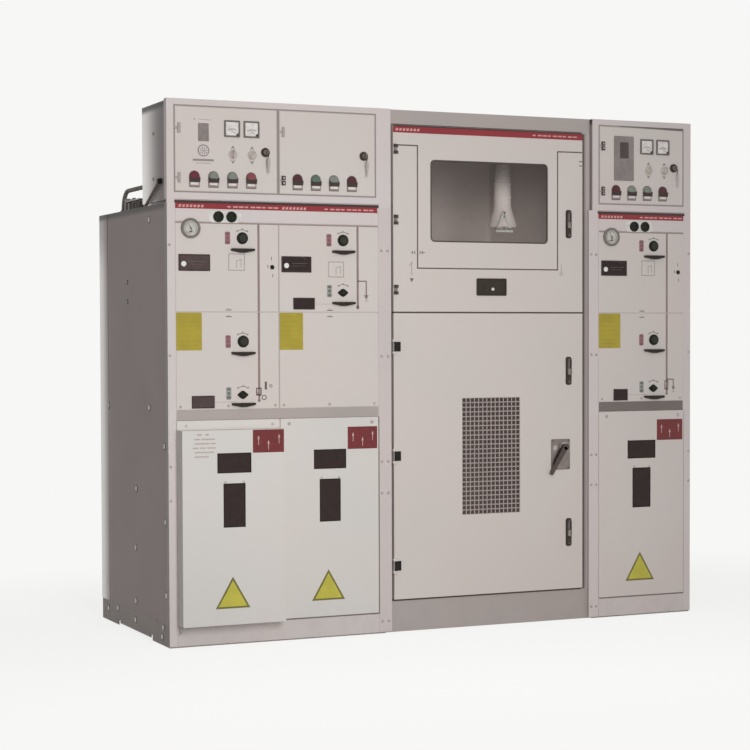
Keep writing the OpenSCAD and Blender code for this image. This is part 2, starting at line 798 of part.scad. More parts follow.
module lower_latches() color([0.6, 0.58, 0.56]) placed() {
  latch(low_z + low_h - latch_top);
  latch(low_z + latch_low);
}

module handle_plate() color([0.1, 0.1, 0.1]) placed()
  difference() {
    slab(pivot_x - plate_w / 2 - 13, lever_z + 26 - plate_h, plate_w, plate_h, -plate_t, plate_t);
    boss(pivot_x, lever_z, spindle_r + pin_clear, 10, 30);
  }

module lever() color([0.15, 0.15, 0.15]) placed()
  translate([pivot_x, 0, lever_z]) rotate([0, lever_ang, 0]) {
    boss(0, 0, spindle_r, sheet + 8, sheet + 8 + plate_t + lever_gap + 2);
    rotate([90, 0, 0]) translate([0, 0, plate_t + lever_gap]) linear_extrude(lever_t) union() {
      circle(r = lever_w / 2 + 3);
      translate([-lever_w / 2, -lever_len]) square([lever_w, lever_len]);
    }
  }

// pins with end knuckles, held on arms through the gap beside the door
module hinge_pins() color([0.55, 0.55, 0.55]) placed()
  for (z = low_hinges) {
    translate([hinge_x, hinge_y, z - hinge_h / 2 - 8.5]) cylinder(r = pin_r, h = hinge_h + 17);
    for (s = [-1, 1]) {
      translate([hinge_x, hinge_y, z + s * (hinge_h / 2 + 4.5) - 4]) cylinder(r = hinge_r, h = 8);
      slab(seam_a + seam_w, z + s * (hinge_h / 2 + 4.5) - 4, hinge_x - seam_a - seam_w, 8, hinge_y - 2, 4);
      slab(seam_a + seam_w, z + s * (hinge_h / 2 + 4.5) - 4, 2, 8, hinge_y - 2, mid_in + sheet + 8 - hinge_y);
    }
  }

module right_case() color([0.62, 0.59, 0.57]) placed() {
  case_shell(right_x, right_w - side_in, base_h, body_h, skin + sheet);
  translate([total_w - side_in - e, depth - wrap_w, base_h]) cube([side_in + e, wrap_w, body_h - base_h]);
}

module right_base() color([0.55, 0.52, 0.5]) placed() base_frame(right_x, right_w - side_in, base_h, skin + sheet, total_w - 7);

module right_frame() color([0.75, 0.72, 0.7]) placed() {
  front_frame(right_x, right_w, unit_c, 1);
  slab(unit_c + unit_w + joint_gap / 2, kick_gap, right_post_w - joint_gap / 2, body_h - kick_gap, 0, skin);
  translate([total_w - side_in, skin, base_h]) cube([side_in, 22, body_h - base_h]);
  front_trim(right_x, total_w, unit_c, 1);
}

module right_band() color([0.6, 0.25, 0.27]) placed()
  slab(unit_c + joint_gap / 2, body_h - band_h, unit_w - joint_gap, band_h, 0, skin);

module fascia_c_up() color([0.78, 0.75, 0.73]) placed() fascia(unit_c, fascia_joint + joint_gap / 2, header_z);

module fascia_c_low() color([0.78, 0.75, 0.73]) placed() fascia(unit_c, fascia_z, fascia_joint - joint_gap / 2);

module cover_c() color([0.76, 0.73, 0.71]) placed() flat_cover(unit_c);

module pane_right() color([0.25, 0.2, 0.2, 0.6]) placed() cover_panes(unit_c, -cover_flat + sheet);

module right_box() color([0.78, 0.75, 0.73]) placed() box_shell(right_x, right_w, 0, box_in) door_hole(right_x + door_c_x, door_c_w);

module box_door_c() color([0.79, 0.76, 0.74]) placed() box_door(right_x + door_c_x, door_c_w);

module right_meters() color([0.1, 0.1, 0.1]) placed() meter_pair(right_x + door_c_x + door_c_w - 140.5);

module right_lamps() color([0.5, 0.2, 0.2]) placed() lamp_row(right_x + door_c_x + 61.5);

module right_selectors() color([0.85, 0.85, 0.85]) placed() selector_pair(right_x + door_c_x + door_c_w - 133);

module right_lock() color([0.6, 0.6, 0.6]) placed() key_lock(right_x + door_c_x + door_c_w - 36);

module controller() color([0.75, 0.75, 0.74]) placed()
  slab(right_x + door_c_x + door_c_w - 265.5, ctrl_z, ctrl_w, ctrl_h, -6, 6);

module right_gauge() color([0.5, 0.5, 0.5]) placed() gas_gauge(unit_c);

module right_knobs() color([0.45, 0.45, 0.45]) placed() {
  for (z = [header_z - 45, fascia_joint - 89, fascia_z + 42])
    operating_point(unit_c, z);
  sockets(unit_c);
}

module right_rails() color([0.3, 0.3, 0.3]) placed() {
  for (z = [header_z - 45, fascia_joint - 89, fascia_z + 49])
    operating_rail(unit_c, z);
}

left_case();
left_base();
left_frame();
left_band();
fascia_a_up();
fascia_a_low();
fascia_b_up();
fascia_b_low();
cover_a();
gusset_a();
cover_b();
plates();
panes_left();
left_box();
box_door_a();
box_door_b();
left_meters();
left_lamps();
left_selectors();
left_locks();
left_gauge();
left_knobs();
left_rails();
left_conduit();
seam_strip_a();
seam_strip_b();
mid_case();
mid_base();
mid_shelf();
mid_frame();
mid_band();
upper_door();
window();
upper_fittings();
insulator();
lower_door();
grille();
lower_latches();
handle_plate();
lever();
hinge_pins();
right_case();
right_base();
right_frame();
right_band();
fascia_c_up();
fascia_c_low();
cover_c();
pane_right();
right_box();
box_door_c();
right_meters();
right_lamps();
right_selectors();
right_lock();
controller();
right_gauge();
right_knobs();
right_rails();
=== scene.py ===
import math
import bmesh
import bpy
from mathutils import Matrix, Vector


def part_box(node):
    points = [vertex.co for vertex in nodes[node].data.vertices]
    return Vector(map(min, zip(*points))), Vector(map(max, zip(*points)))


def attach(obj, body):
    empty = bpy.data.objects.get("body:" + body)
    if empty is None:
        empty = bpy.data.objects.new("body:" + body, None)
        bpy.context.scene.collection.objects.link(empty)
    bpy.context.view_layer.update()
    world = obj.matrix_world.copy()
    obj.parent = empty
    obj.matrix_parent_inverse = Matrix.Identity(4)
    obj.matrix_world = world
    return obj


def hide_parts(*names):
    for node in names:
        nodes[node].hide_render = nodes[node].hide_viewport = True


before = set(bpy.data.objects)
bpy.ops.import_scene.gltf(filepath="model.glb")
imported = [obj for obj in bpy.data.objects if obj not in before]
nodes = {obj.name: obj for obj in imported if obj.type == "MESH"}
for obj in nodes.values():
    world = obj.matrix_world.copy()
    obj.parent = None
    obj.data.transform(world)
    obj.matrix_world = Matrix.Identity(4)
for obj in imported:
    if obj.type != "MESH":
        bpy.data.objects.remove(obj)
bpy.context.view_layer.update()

fixed, leaf, handleBody = "cabinets", "lower_door_leaf", "door_lever"
print("frame loaded:", len(nodes), "solids")

# Places are given in millimetres: x from the left end, y back from the fascia plane, z from the floor.
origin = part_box("left_frame")[0]
toFrame = Matrix.Translation((origin.x, origin.y, 0)) @ Matrix.Scale(0.001, 4)
# The units entry holds the left edges of the switch units.
lineUp = {"width": 1834, "roof": 1331, "units": {"a": 25, "b": 355, "c": 1477}}
units = lineUp["units"]


def wheel(r, count):
    # points round a circle about the origin, or one point where r is 0
    turns = [2 * math.pi * k / count for k in range(count if r > 0 else 1)]
    return [(r * math.cos(t), r * math.sin(t)) for t in turns]


def away(degrees, r=1.0):
    # the point at distance r in one direction
    return r * math.cos(math.radians(degrees)), r * math.sin(math.radians(degrees))


def arcPoints(x, z, r, start, end, count=12):
    steps = [away(start + (end - start) * k / count, r) for k in range(count + 1)]
    return [(x + a, z + b) for a, b in steps]


def circle(x, z, r, count):
    return [(x + a, z + b) for a, b in wheel(r, count)]


def grown(box, d):
    # a box (x0, z0, x1, z1) moved outwards by d on every side, or inwards where d is negative
    return box[0] - d, box[1] - d, box[2] + d, box[3] + d


def shifted(box, x):
    return box[0] + x, box[1], box[2] + x, box[3]


def roundedBox(x0, z0, x1, z1, r=0.0, steps=4):
    if r <= 0:
        return [(x0, z0), (x1, z0), (x1, z1), (x0, z1)]
    r = min(r, (x1 - x0) / 2.001, (z1 - z0) / 2.001)
    points = []
    corners = ((x1 - r, z0 + r), (x1 - r, z1 - r), (x0 + r, z1 - r), (x0 + r, z0 + r))
    for k, (x, z) in enumerate(corners):
        points += arcPoints(x, z, r, 90 * k - 90, 90 * k, steps)
    return points


def inset(outline, d):
    # the outline moved inwards by d; its points run counter-clockwise
    result = []
    for (px, pz), (cx, cz), (nx, nz) in zip(outline[-1:] + outline[:-1], outline, outline[1:] + outline[:1]):
        before, after = Vector((pz - cz, cx - px)).normalized(), Vector((cz - nz, nx - cx)).normalized()
        side = before + after
        side *= 2 * d / max(0.3, side.dot(side))
        result.append((cx + side.x, cz + side.y))
    return result


class Shape:
    # faces in millimetres; ink is the number of the finish that the next faces take
    def __init__(self):
        self.bm = bmesh.new()
        self.ink = 0

    def ring(self, points):
        return [self.bm.verts.new(p) for p in points]

    def face(self, verts):
        self.bm.faces.new(verts).material_index = self.ink

    def bridge(self, low, high):
        count = max(len(low), len(high))
        for i in range(count):
            j = (i + 1) % count
            if len(high) == 1:
                self.face((low[i], low[j], high[0]))
            elif len(low) == 1:
                self.face((low[0], high[j], high[i]))
            else:
                self.face((low[i], low[j], high[j], high[i]))

    def stack(self, rings):
        # closed solid through a list of rings, each a list of points
        made = [self.ring(r) for r in rings]
        for low, high in zip(made, made[1:]):
            self.bridge(low, high)
        if len(made[0]) > 2:
            self.face(made[0][::-1])
        if len(made[-1]) > 2:
            self.face(made[-1])

    def mesh(self, name, matrix):
        # the faces as a mesh in metres, all pointing outwards
        bmesh.ops.transform(self.bm, matrix=matrix, verts=self.bm.verts)
        bmesh.ops.recalc_face_normals(self.bm, faces=self.bm.faces)
        result = bpy.data.meshes.new(name)
        self.bm.to_mesh(result)
        self.bm.free()
        return result


def slab(shape, outline, front, back, edge=0.0):
    # a plate facing the front, its front edge chamfered
    rings = [[(x, back, z) for x, z in outline], [(x, front + edge, z) for x, z in outline]]
    if edge > 0:
        rings.append([(x, front, z) for x, z in inset(outline, edge)])
    shape.stack(rings)


def plate(shape, box, front, back, r=0.0, edge=0.0, steps=4):
    slab(shape, roundedBox(*box, r, steps), front, back, edge)


def plates(shape, ink, front, back, *boxes, r=0.0, edge=0.0):
    # several plates of one finish and thickness
    shape.ink = ink
    for box in boxes:
        plate(shape, box, front, back, r, edge)


def frameRing(shape, outer, inner, front, back, edge=0.4):
    # a flat frame between two outlines of equally many points
    levels = ((outer, back), (outer, front + edge), (inset(outer, edge), front),
              (inset(inner, -edge), front), (inner, front + edge), (inner, back))
    rings = [shape.ring([(x, y, z) for x, z in outline]) for outline, y in levels]
    for low, high in zip(rings, rings[1:] + rings[:1]):
        shape.bridge(low, high)


def boxFrame(shape, box, wide, front, back, edge=0.4, r=0.0, innerR=0.0, steps=4):
    # a frame of an even width inside a box
    hole = roundedBox(*grown(box, -wide), innerR, steps)
    frameRing(shape, roundedBox(*box, r, steps), hole, front, back, edge)


def onAxis(profile):
    # the profile of a turned solid, with a point on the axis at both ends
    (r0, first), (r1, last) = profile[0], profile[-1]
    return [(0, first)] * (r0 > 0) + profile + [(0, last)] * (r1 > 0)


def turned(shape, x, z, profile, count=32, closed=True):
    # turned solid about an axis along the depth; the profile gives (radius, y) from back to front
    levels = onAxis(profile) if closed else profile
    shape.stack([[(x + a, y, z + b) for a, b in wheel(r, count)] for r, y in levels])


def upright(shape, x, y, profile, count=40):
    # turned solid about a vertical axis; the profile gives (radius, z)
    shape.stack([[(x + a, y + b, z) for a, b in wheel(r, count)] for r, z in onAxis(profile)])


def disc(shape, x, z, r, front, back=0, count=16):
    turned(shape, x, z, [(r, back), (r, front)], count)


def tube(shape, path, r, count=12):
    # round bar along a path of (x, y, z)
    points = [Vector(p) for p in path]
    side = (points[1] - points[0]).orthogonal().normalized()
    rings = []
    for before, p, after in zip(points[:1] + points[:-1], points, points[1:] + points[-1:]):
        d = (after - before).normalized()
        side = (side - d * side.dot(d)).normalized()
        other = d.cross(side)
        rings.append([p + side * a + other * b for a, b in wheel(r, count)])
    shape.stack(rings)


def block(shape, low, high, edge=0.5):
    # a box with every edge chamfered
    (x0, y0, z0), (x1, y1, z1) = low, high
    outline = roundedBox(x0, z0, x1, z1)
    inner = inset(outline, edge)
    levels = ((inner, y1), (outline, y1 - edge), (outline, y0 + edge), (inner, y0))
    shape.stack([[(x, y, z) for x, z in points] for points, y in levels])


def stroke(shape, points, width, front=-0.3, back=0):
    # a flat printed line through points, mitred at its corners
    points = [Vector(p) for p in points]
    ways = [(b - a).normalized() for a, b in zip(points, points[1:])]
    left, right = [], []
    for p, d1, d2 in zip(points, ways[:1] + ways, ways + ways[-1:]):
        across = Vector((-d1.y - d2.y, d1.x + d2.x))
        across *= width / max(0.2, across.dot(across))
        left.append(tuple(p + across))
        right.append(tuple(p - across))
    slab(shape, right + left[::-1], front, back)


def strokes(shape, ink, width, *lines, front=-0.3, back=0):
    # several printed lines of one colour and width
    shape.ink = ink
    for line in lines:
        stroke(shape, line, width, front, back)


def linked(name, data):
    piece = bpy.data.objects.new(name, data)
    bpy.context.scene.collection.objects.link(piece)
    return piece


def plainMesh(piece):
    # what the modifiers make of the piece, as a mesh of its own
    result = bpy.data.meshes.new_from_object(piece.evaluated_get(bpy.context.evaluated_depsgraph_get()))
    piece.modifiers.clear()
    return result


def settle(piece, body, replaces=(), angle=32):
    piece.data.polygons.foreach_set("use_smooth", [True] * len(piece.data.polygons))
    piece.data.set_sharp_from_angle(angle=math.radians(angle))
    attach(piece, body)
    if replaces:
        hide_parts(*replaces)
    return piece


def finishPiece(name, shape, finishes, replaces=(), body=fixed, angle=32):
    # the shape becomes a piece of the object
    piece = linked(name, shape.mesh(name, toFrame))
    for f in finishes:
        piece.data.materials.append(f)
    return settle(piece, body, replaces, angle)


def sums(operation):
    # the plain and the reflected form of one operator
    def plain(own, other):
        return own.graph.calculate(operation, own, other)

    def reflected(own, other):
        return own.graph.calculate(operation, other, own)

    return plain, reflected


class Value:
    # a node socket that takes part in sums
    def __init__(self, graph, socket):
        self.graph, self.socket = graph, socket

    __add__, __radd__ = sums("ADD")
    __sub__, __rsub__ = sums("SUBTRACT")
    __mul__, __rmul__ = sums("MULTIPLY")
    __truediv__, __rtruediv__ = sums("DIVIDE")


class Graph:
    def __init__(self, tree):
        self.tree = tree

    def add(self, kind, settings=None, inputs=None, out=0):
        # settings come first, because some of them change the sockets
        node = self.tree.nodes.new(kind)
        for key, value in (settings or {}).items():
            setattr(node, key, value)
        for key, value in (inputs or {}).items():
            if isinstance(value, Value):
                self.tree.links.new(value.socket, node.inputs[key])
            else:
                node.inputs[key].default_value = value
        self.last = node
        return Value(self, node.outputs[out]) if node.outputs else node

    def calculate(self, operation, *values):
        return self.add("ShaderNodeMath", {"operation": operation}, dict(enumerate(values)))

    def axis(self, vector, letter):
        return self.add("ShaderNodeSeparateXYZ", None, {0: vector}, letter)

    def vector(self, **parts):
        return self.add("ShaderNodeCombineXYZ", None, parts)

    def mix(self, factor, a, b):
        return self.add("ShaderNodeMix", {"data_type": "RGBA"}, {0: factor, 6: a, 7: b}, 2)

    def noise(self, where, scale, detail=2.0, rough=0.5):
        sizes = {"Vector": where, "Scale": scale, "Detail": detail, "Roughness": rough}
        return self.add("ShaderNodeTexNoise", None, sizes, "Fac")

    def step(self, value, low, high):
        # 0 at low, 1 at high
        smooth = {"interpolation_type": "SMOOTHSTEP"}
        return self.add("ShaderNodeMapRange", smooth, {0: value, 1: low, 2: high}, "Result")

    def patches(self, where, scale, detail, rough, low, high):
        return self.step(self.noise(where, scale, detail, rough), low, high)

    def tones(self, value, low, high, colour, dark, pale):
        # between two tints of a colour
        return self.mix(self.step(value, low, high), tinted(colour, dark), tinted(colour, pale))

    def bump(self, strength, height, distance=0.0001):
        relief = {"Strength": strength, "Distance": distance, "Height": height}
        return self.add("ShaderNodeBump", None, relief, "Normal")


def rgb(r, g, b):
    # a colour as a screen shows it, turned to the linear values that shaders take
    shares = (c / 255 for c in (r, g, b))
    return tuple(c / 12.92 if c <= 0.04045 else ((c + 0.055) / 1.055) ** 2.4 for c in shares) + (1.0,)


def tinted(colour, k):
    return tuple(min(1.0, c * k) for c in colour[:3]) + (1.0,)


def newFinish(name):
    material = bpy.data.materials.new(name)
    material.use_nodes = True
    material.node_tree.nodes.clear()
    g = Graph(material.node_tree)
    g.material = material
    return g, g.add("ShaderNodeTexCoord", None, None, "Object")


def closeFinish(g, colour, roughness, inputs):
    shader = g.add("ShaderNodeBsdfPrincipled", None, {"Base Color": colour, "Roughness": roughness, **inputs})
    g.add("ShaderNodeOutputMaterial", None, {"Surface": shader})
    return g.material


def paintFinish(name, tone, rough=0.46, drift=0.05, peel=0.05, darkening=0.12):
    # powder coat: slow tone drift, fine orange peel, darker in patches low down and faint rubbed patches
    g, where = newFinish(name)
    colour = rgb(*tone)
    low = g.step(g.axis(where, "Z"), 0.16, 0.0)
    pebble, fine = g.noise(where, 420.0, 1.0), g.noise(where, 1500.0, 1.0)
    smear = g.patches(where, 9.0, 5.0, 0.62, 0.56, 0.8)
    body = g.tones(g.noise(where, 1.6), 0.3, 0.7, colour, 1 - drift, 1 + drift * 0.6)
    warmer = (colour[0] * 1.012, colour[1] * 0.985, colour[2] * 0.98, 1)
    body = g.mix(g.patches(where, 3.3, 1.0, 0.5, 0.35, 0.65), body, warmer)
    darkPatches = low * g.patches(where, 26.0, 6.0, 0.6, 0.35, 0.75) * darkening + smear * (darkening * 0.22)
    body = g.mix(darkPatches, body, tinted(colour, 0.52))
    roughness = rough + (pebble - 0.5) * 0.05 + smear * 0.07 + low * 0.08
    return closeFinish(g, body, roughness, {"Normal": g.bump(peel * 4, pebble * 0.75 + fine * 0.25, 0.00012)})


def rearLitFinish(name, tone, pale, start, end, gleam, roof, fade):
    # side paint darkened as painted shade, passing into a painted highlight on the rear wrap between two
    # depths, in metres
    g, where = newFinish(name)
    colour, pale, height = rgb(*tone), rgb(*pale), g.axis(where, "Z")
    slow, pebble = g.noise(where, 2.2), g.noise(where, 420.0, 1.0)
    smear = g.patches(where, 7.0, 5.0, 0.62, 0.55, 0.8)
    body = g.tones(slow, 0.3, 0.7, colour, 0.94, 1.05)
    body = g.mix(g.step(height, 0.2, 0.0) * 0.12 + smear * 0.05, body, tinted(colour, 0.55))
    # painted highlight: paler and a little metallic towards the rear edge, fading near the roof
    wrap = g.step(g.axis(where, "Y") + (slow - 0.5) * 0.004, start, end)
    wrap = wrap * (1 - g.step(height, roof - 0.22, roof - 0.03) * fade)
    body = g.mix(wrap, body, g.mix(smear, pale, tinted(pale, 0.9)))
    # the sides have a dark line of shadow under the roof's rim
    facing = g.axis(g.add("ShaderNodeTexCoord", None, None, "Normal"), "X")
    paintedShade = g.step(height, roof - 0.026, roof - 0.008) * g.step(facing * facing, 0.3, 0.6)
    body = g.mix(paintedShade, body, tinted(colour, 0.18))
    roughness = 0.55 + (pebble - 0.5) * 0.05 + smear * 0.06 - wrap * 0.15
    shine = {"Metallic": wrap * gleam * (1 - paintedShade), "Normal": g.bump(0.2, pebble, 0.00012)}
    return closeFinish(g, body, roughness, shine)


def roomFinish(name, low, high, floor, top, glow):
    # for a closed compartment and what hangs in it: painted shade, darker towards the unlit top and the right
    # and much darker below a metre, with a faint painted glow where it is lighter
    g, where = newFinish(name)
    low, high, height = rgb(*low), rgb(*high), g.axis(where, "Z")
    cloud = g.noise(where, 4.0, 3.0)
    paintedShade = g.step(height + (cloud - 0.5) * 0.05 + g.axis(where, "X") * 0.12, floor, top)
    body = g.mix(g.step(height, 1.0, 0.98), g.mix(paintedShade, low, high), tinted(high, 0.28))
    # painted glow: the lighter parts give off a little light of their own
    light = {"Emission Color": g.mix(paintedShade, low, (0, 0, 0, 1)), "Emission Strength": glow}
    return closeFinish(g, body, 0.6 + cloud * 0.05, light)


def plasticFinish(name, tone, rough=0.4, grain=900.0, bump=0.2, worn=0.12, coat=0.0, spec=0.3):
    g, where = newFinish(name)
    colour, fine = rgb(*tone), g.noise(where, grain)
    rub = g.patches(where, 140.0, 4.0, 0.65, 0.58, 0.78)
    body = g.tones(g.noise(where, 60.0, 3.0), 0.3, 0.7, colour, 0.9, 1.08)
    body = g.mix(rub * worn, body, tuple(c + (0.45 - c) * 0.35 for c in colour[:3]) + (1,))
    shine = {"Coat Weight": coat, "Coat Roughness": 0.12, "Specular IOR Level": spec}
    roughness = rough + (fine - 0.5) * 0.12 + rub * 0.08
    return closeFinish(g, body, roughness, {"Normal": g.bump(bump, fine), **shine})


def metalFinish(name, tone, rough=0.42, brush=(1.0, 1.0, 1.0), stain=0.25, metallic=1.0):
    # plated or brushed metal; the brush stretches the grain along one axis
    g, where = newFinish(name)
    colour = rgb(*tone)
    grain = g.noise(g.add("ShaderNodeMapping", None, {"Vector": where, "Scale": brush}), 700.0, 3.0)
    spots = g.patches(where, 210.0, 5.0, 0.7, 0.6, 0.75)
    body = g.tones(g.noise(where, 45.0, 4.0, 0.6), 0.35, 0.7, colour, 1, 0.78)
    body = g.mix(spots * stain, body, rgb(96, 84, 74))
    roughness = rough + (grain - 0.5) * 0.22 + spots * 0.15
    return closeFinish(g, body, roughness, {"Normal": g.bump(0.15, grain), "Metallic": metallic})


def printFinish(name, tone, fade=0.3, rough=0.5, under=(200, 192, 189)):
    # screen print or sticker: slightly broken, lets a little of the paint through
    g, where = newFinish(name)
    wear, cloud = g.patches(where, 320.0, 4.0, 0.7, 0.45, 0.75), g.noise(where, 22.0)
    body = g.mix(wear * fade, g.tones(cloud, 0.3, 0.7, rgb(*tone), 0.93, 1.06), rgb(*under))
    return closeFinish(g, body, rough + (cloud - 0.5) * 0.12, {"Normal": g.bump(0.12, wear)})


def glassFinish(name, tone, alpha, rough=0.06, dirt=0.08):
    g, where = newFinish(name)
    film = g.patches(where, 7.0, 5.0, 0.6, 0.4, 0.8)
    body = g.mix(film, rgb(*tone), tinted(rgb(*tone), 1.15))
    clear = {"Alpha": alpha + film * dirt, "Specular IOR Level": 0.6}
    return closeFinish(g, body, rough + film * 0.05, clear)


def newTree(name, sockets):
    tree = bpy.data.node_groups.new(name, "GeometryNodeTree")
    tree.interface.new_socket("Geometry", in_out="OUTPUT", socket_type="NodeSocketGeometry")
    for label, kind in {"Geometry": "Geometry", **sockets}.items():
        tree.interface.new_socket(label, in_out="INPUT", socket_type="NodeSocket" + kind)
    g = Graph(tree)
    node = tree.nodes.new("NodeGroupInput")
    return g, {s.name: Value(g, s) for s in node.outputs if s.name}


def closeTree(g, geometry, finish):
    real = g.add("GeometryNodeRealizeInstances", None, {"Geometry": geometry})
    painted = g.add("GeometryNodeSetMaterial", None, {"Geometry": real, "Material": finish})
    g.add("NodeGroupOutput", None, {0: painted})
    return g.tree


def copies(g, points, shape, **more):
    return g.add("GeometryNodeInstanceOnPoints", None, {"Points": points, "Instance": shape, **more})


def meshPoints(g, put):
    return g.add("GeometryNodeMeshToPoints", None, {"Mesh": put["Geometry"]})


def runTree(piece, tree, values):
    # the tree's result becomes the piece's plain mesh
    maker = piece.modifiers.new("maker", "NODES")
    maker.node_group = tree
    for item in tree.interface.items_tree:
        if item.in_out == "INPUT" and item.name in values:
            maker[item.identifier] = values[item.name]
    solid = plainMesh(piece)
    if piece.type == "MESH":
        piece.data = solid
        return piece
    result = linked(piece.name + "Mesh", solid)
    bpy.data.objects.remove(piece)
    return result


def scatterTree():
    # one head on each point of the input, each turned its own way
    sockets = {"Head": "Object", "Facing": "Rotation", "Seed": "Int", "Finish": "Material"}
    g, put = newTree("fixings", sockets)
    head = g.add("GeometryNodeObjectInfo", None, {"Object": put["Head"]}, "Geometry")
    turn = g.add("FunctionNodeRandomValue", {"data_type": "FLOAT"}, {2: -3.0, 3: 3.0, "Seed": put["Seed"]}, 1)
    placed = copies(g, meshPoints(g, put), head, Rotation=put["Facing"])
    twist = {"Instances": placed, "Rotation": g.vector(Y=turn), "Local Space": True}
    return closeTree(g, g.add("GeometryNodeRotateInstances", None, twist), put["Finish"])


def dialTree():
    # graduation marks round an arc that faces the front
    lengths = ("Radius", "Start", "Sweep", "Length", "Width")
    g, put = newTree("graduations", {**dict.fromkeys(lengths, "Float"), "Marks": "Int", "Finish": "Material"})
    sweep = {"Radius": put["Radius"], "Start Angle": put["Start"], "Sweep Angle": put["Sweep"]}
    arc = g.add("GeometryNodeCurveArc", None, {"Resolution": put["Marks"], **sweep})
    points = g.add("GeometryNodeCurveToPoints", {"mode": "EVALUATED"}, {"Curve": arc}, "Points")
    angle = g.add("GeometryNodeInputIndex") * (put["Sweep"] / (put["Marks"] - 1)) + put["Start"]
    size = g.vector(X=put["Length"], Y=put["Width"], Z=put["Width"])
    mark = g.add("GeometryNodeMeshCube", None, {"Size": size})
    ring = copies(g, points, mark, Rotation=g.vector(Z=angle))
    marks = g.add("GeometryNodeRealizeInstances", None, {"Geometry": ring})
    facing = g.add("GeometryNodeTransform", None, {"Geometry": marks, "Rotation": (math.pi / 2, 0, 0)})
    return closeTree(g, copies(g, meshPoints(g, put), facing), put["Finish"])


def hoseTree():
    # corrugated hose along a curve: the radius rises and falls with the length
    lengths = ("Radius", "Depth", "Pitch")
    g, put = newTree("corrugated hose", {**dict.fromkeys(lengths, "Float"), "Finish": "Material"})
    steps = {"Curve": put["Geometry"], "Length": put["Pitch"] / 6}
    fine = g.add("GeometryNodeResampleCurve", {"mode": "LENGTH"}, steps)
    along = g.add("GeometryNodeSplineParameter", None, None, "Length")
    wave = g.calculate("SINE", along / put["Pitch"] * (2 * math.pi))
    radius = put["Radius"] - put["Depth"] * (wave * 0.5 + 0.5)
    thick = g.add("GeometryNodeSetCurveRadius", None, {"Curve": fine, "Radius": radius})
    section = g.add("GeometryNodeCurvePrimitiveCircle", None, {"Resolution": 16, "Radius": 1.0})
    skin = {"Curve": thick, "Profile Curve": section, "Scale": radius, "Fill Caps": True}
    return closeTree(g, g.add("GeometryNodeCurveToMesh", None, skin), put["Finish"])


def latticeTree():
    # bars in two directions about the point; the level ones lie a little deeper
    sockets = {"Columns": "Int", "Rows": "Int", **dict.fromkeys(("Pitch", "Bar", "Depth"), "Float")}
    g, put = newTree("lattice", {**sockets, "Finish": "Material"})
    pitch, bar, depth = put["Pitch"], put["Bar"], put["Depth"]
    wide, tall = put["Columns"] * pitch, put["Rows"] * pitch

    def bars(count, offset, size, start):
        steps = {"Count": count + 1, "Start Location": start, "Offset": offset}
        line = g.add("GeometryNodeMeshLine", None, steps)
        return copies(g, line, g.add("GeometryNodeMeshCube", None, {"Size": size}))

    size, start = g.vector(X=bar, Y=depth, Z=tall), g.vector(X=wide * -0.5)
    standing = bars(put["Columns"], g.vector(X=pitch), size, start)
    start = g.vector(Z=tall * -0.5, Y=depth * 0.45)
    level = bars(put["Rows"], g.vector(Z=pitch), g.vector(X=wide, Y=depth, Z=bar), start)
    both = g.add("GeometryNodeJoinGeometry")
    for part in (standing, level):
        g.tree.links.new(part.socket, g.last.inputs[0])
    real = g.add("GeometryNodeRealizeInstances", None, {"Geometry": both})
    return closeTree(g, copies(g, meshPoints(g, put), real), put["Finish"])


scatter, dial, hoseMaker, lattice = scatterTree(), dialTree(), hoseTree(), latticeTree()


frontPaint = paintFinish("front paint", (214, 206, 201), drift=0.03)
coverPaint = paintFinish("cover paint", (218, 214, 209), drift=0.03)
stripPaint = paintFinish("seam strip paint", (208, 199, 196), drift=0.03)
hingeSoft = paintFinish("box hinge paint", (174, 166, 163), 0.5, 0.03)
edgePaint = paintFinish("corner post paint", (214, 206, 204), drift=0.03)
frameShadedPaint = paintFinish("metering frame paint", (178, 170, 166), 0.48)
plinthShadedPaint = paintFinish("plinth paint", (166, 157, 152), 0.55, 0.08, darkening=0.3)
beamShadedPaint = paintFinish("beam paint", (177, 168, 164), 0.52, 0.07)
gapPaint = paintFinish("shadow gap paint", (122, 113, 110), 0.6, 0.04)
gapSoft = paintFinish("door gap paint", (150, 141, 138), 0.6, 0.04)
railPaint = paintFinish("bottom rail paint", (211, 203, 200), 0.55, 0.06, darkening=0.16)
postShadedPaint = paintFinish("metering post paint", (184, 175, 172), 0.5)
doorShadowPaint = paintFinish("deep seam paint", (82, 70, 67), 0.6, 0.04)
ruleGrey = paintFinish("header seam paint", (158, 142, 138), 0.55, 0.04)
bandShadow = paintFinish("band edge", (58, 42, 40), 0.5)
jointPaint = paintFinish("panel joint paint", (190, 182, 178), 0.55, 0.03)
innerPaint = paintFinish("inner paint", (168, 164, 160), 0.6, darkening=0.2)
bandRed = paintFinish("band red", (142, 46, 52), 0.42, 0.07, 0.02, 0.05)
latticePaint = paintFinish("grille paint", (172, 158, 153), 0.5, 0.06)

# the sides' paint is darker than the fronts' as painted shade; the pale tone is a painted highlight along the
# rear wrap
sideShadeTones = {"paint": (156, 141, 138), "wrap": (224, 221, 219), "depths": (0.262, 0.374), "gleam": 0.64}
sides = (sideShadeTones["paint"], sideShadeTones["wrap"], *sideShadeTones["depths"], sideShadeTones["gleam"])
caseShadedPaint = rearLitFinish("case side paint", *sides, 1.331, 0.45)
meterShadedPaint = rearLitFinish("metering case paint", *sides, 1.638, 0.45)
boxShadeTones = ((158, 148, 147), (232, 229, 227), -0.25, -0.05, 0.85)
boxShadedPaint = rearLitFinish("instrument box side paint", *boxShadeTones, 1.638, 0.1)
shellInside = roomFinish("metering inside paint", (244, 231, 224), (170, 156, 150), 1.29, 1.6, 0.055)
resin = roomFinish("cast resin", (232, 219, 213), (128, 119, 115), 1.41, 1.5, 0.07)

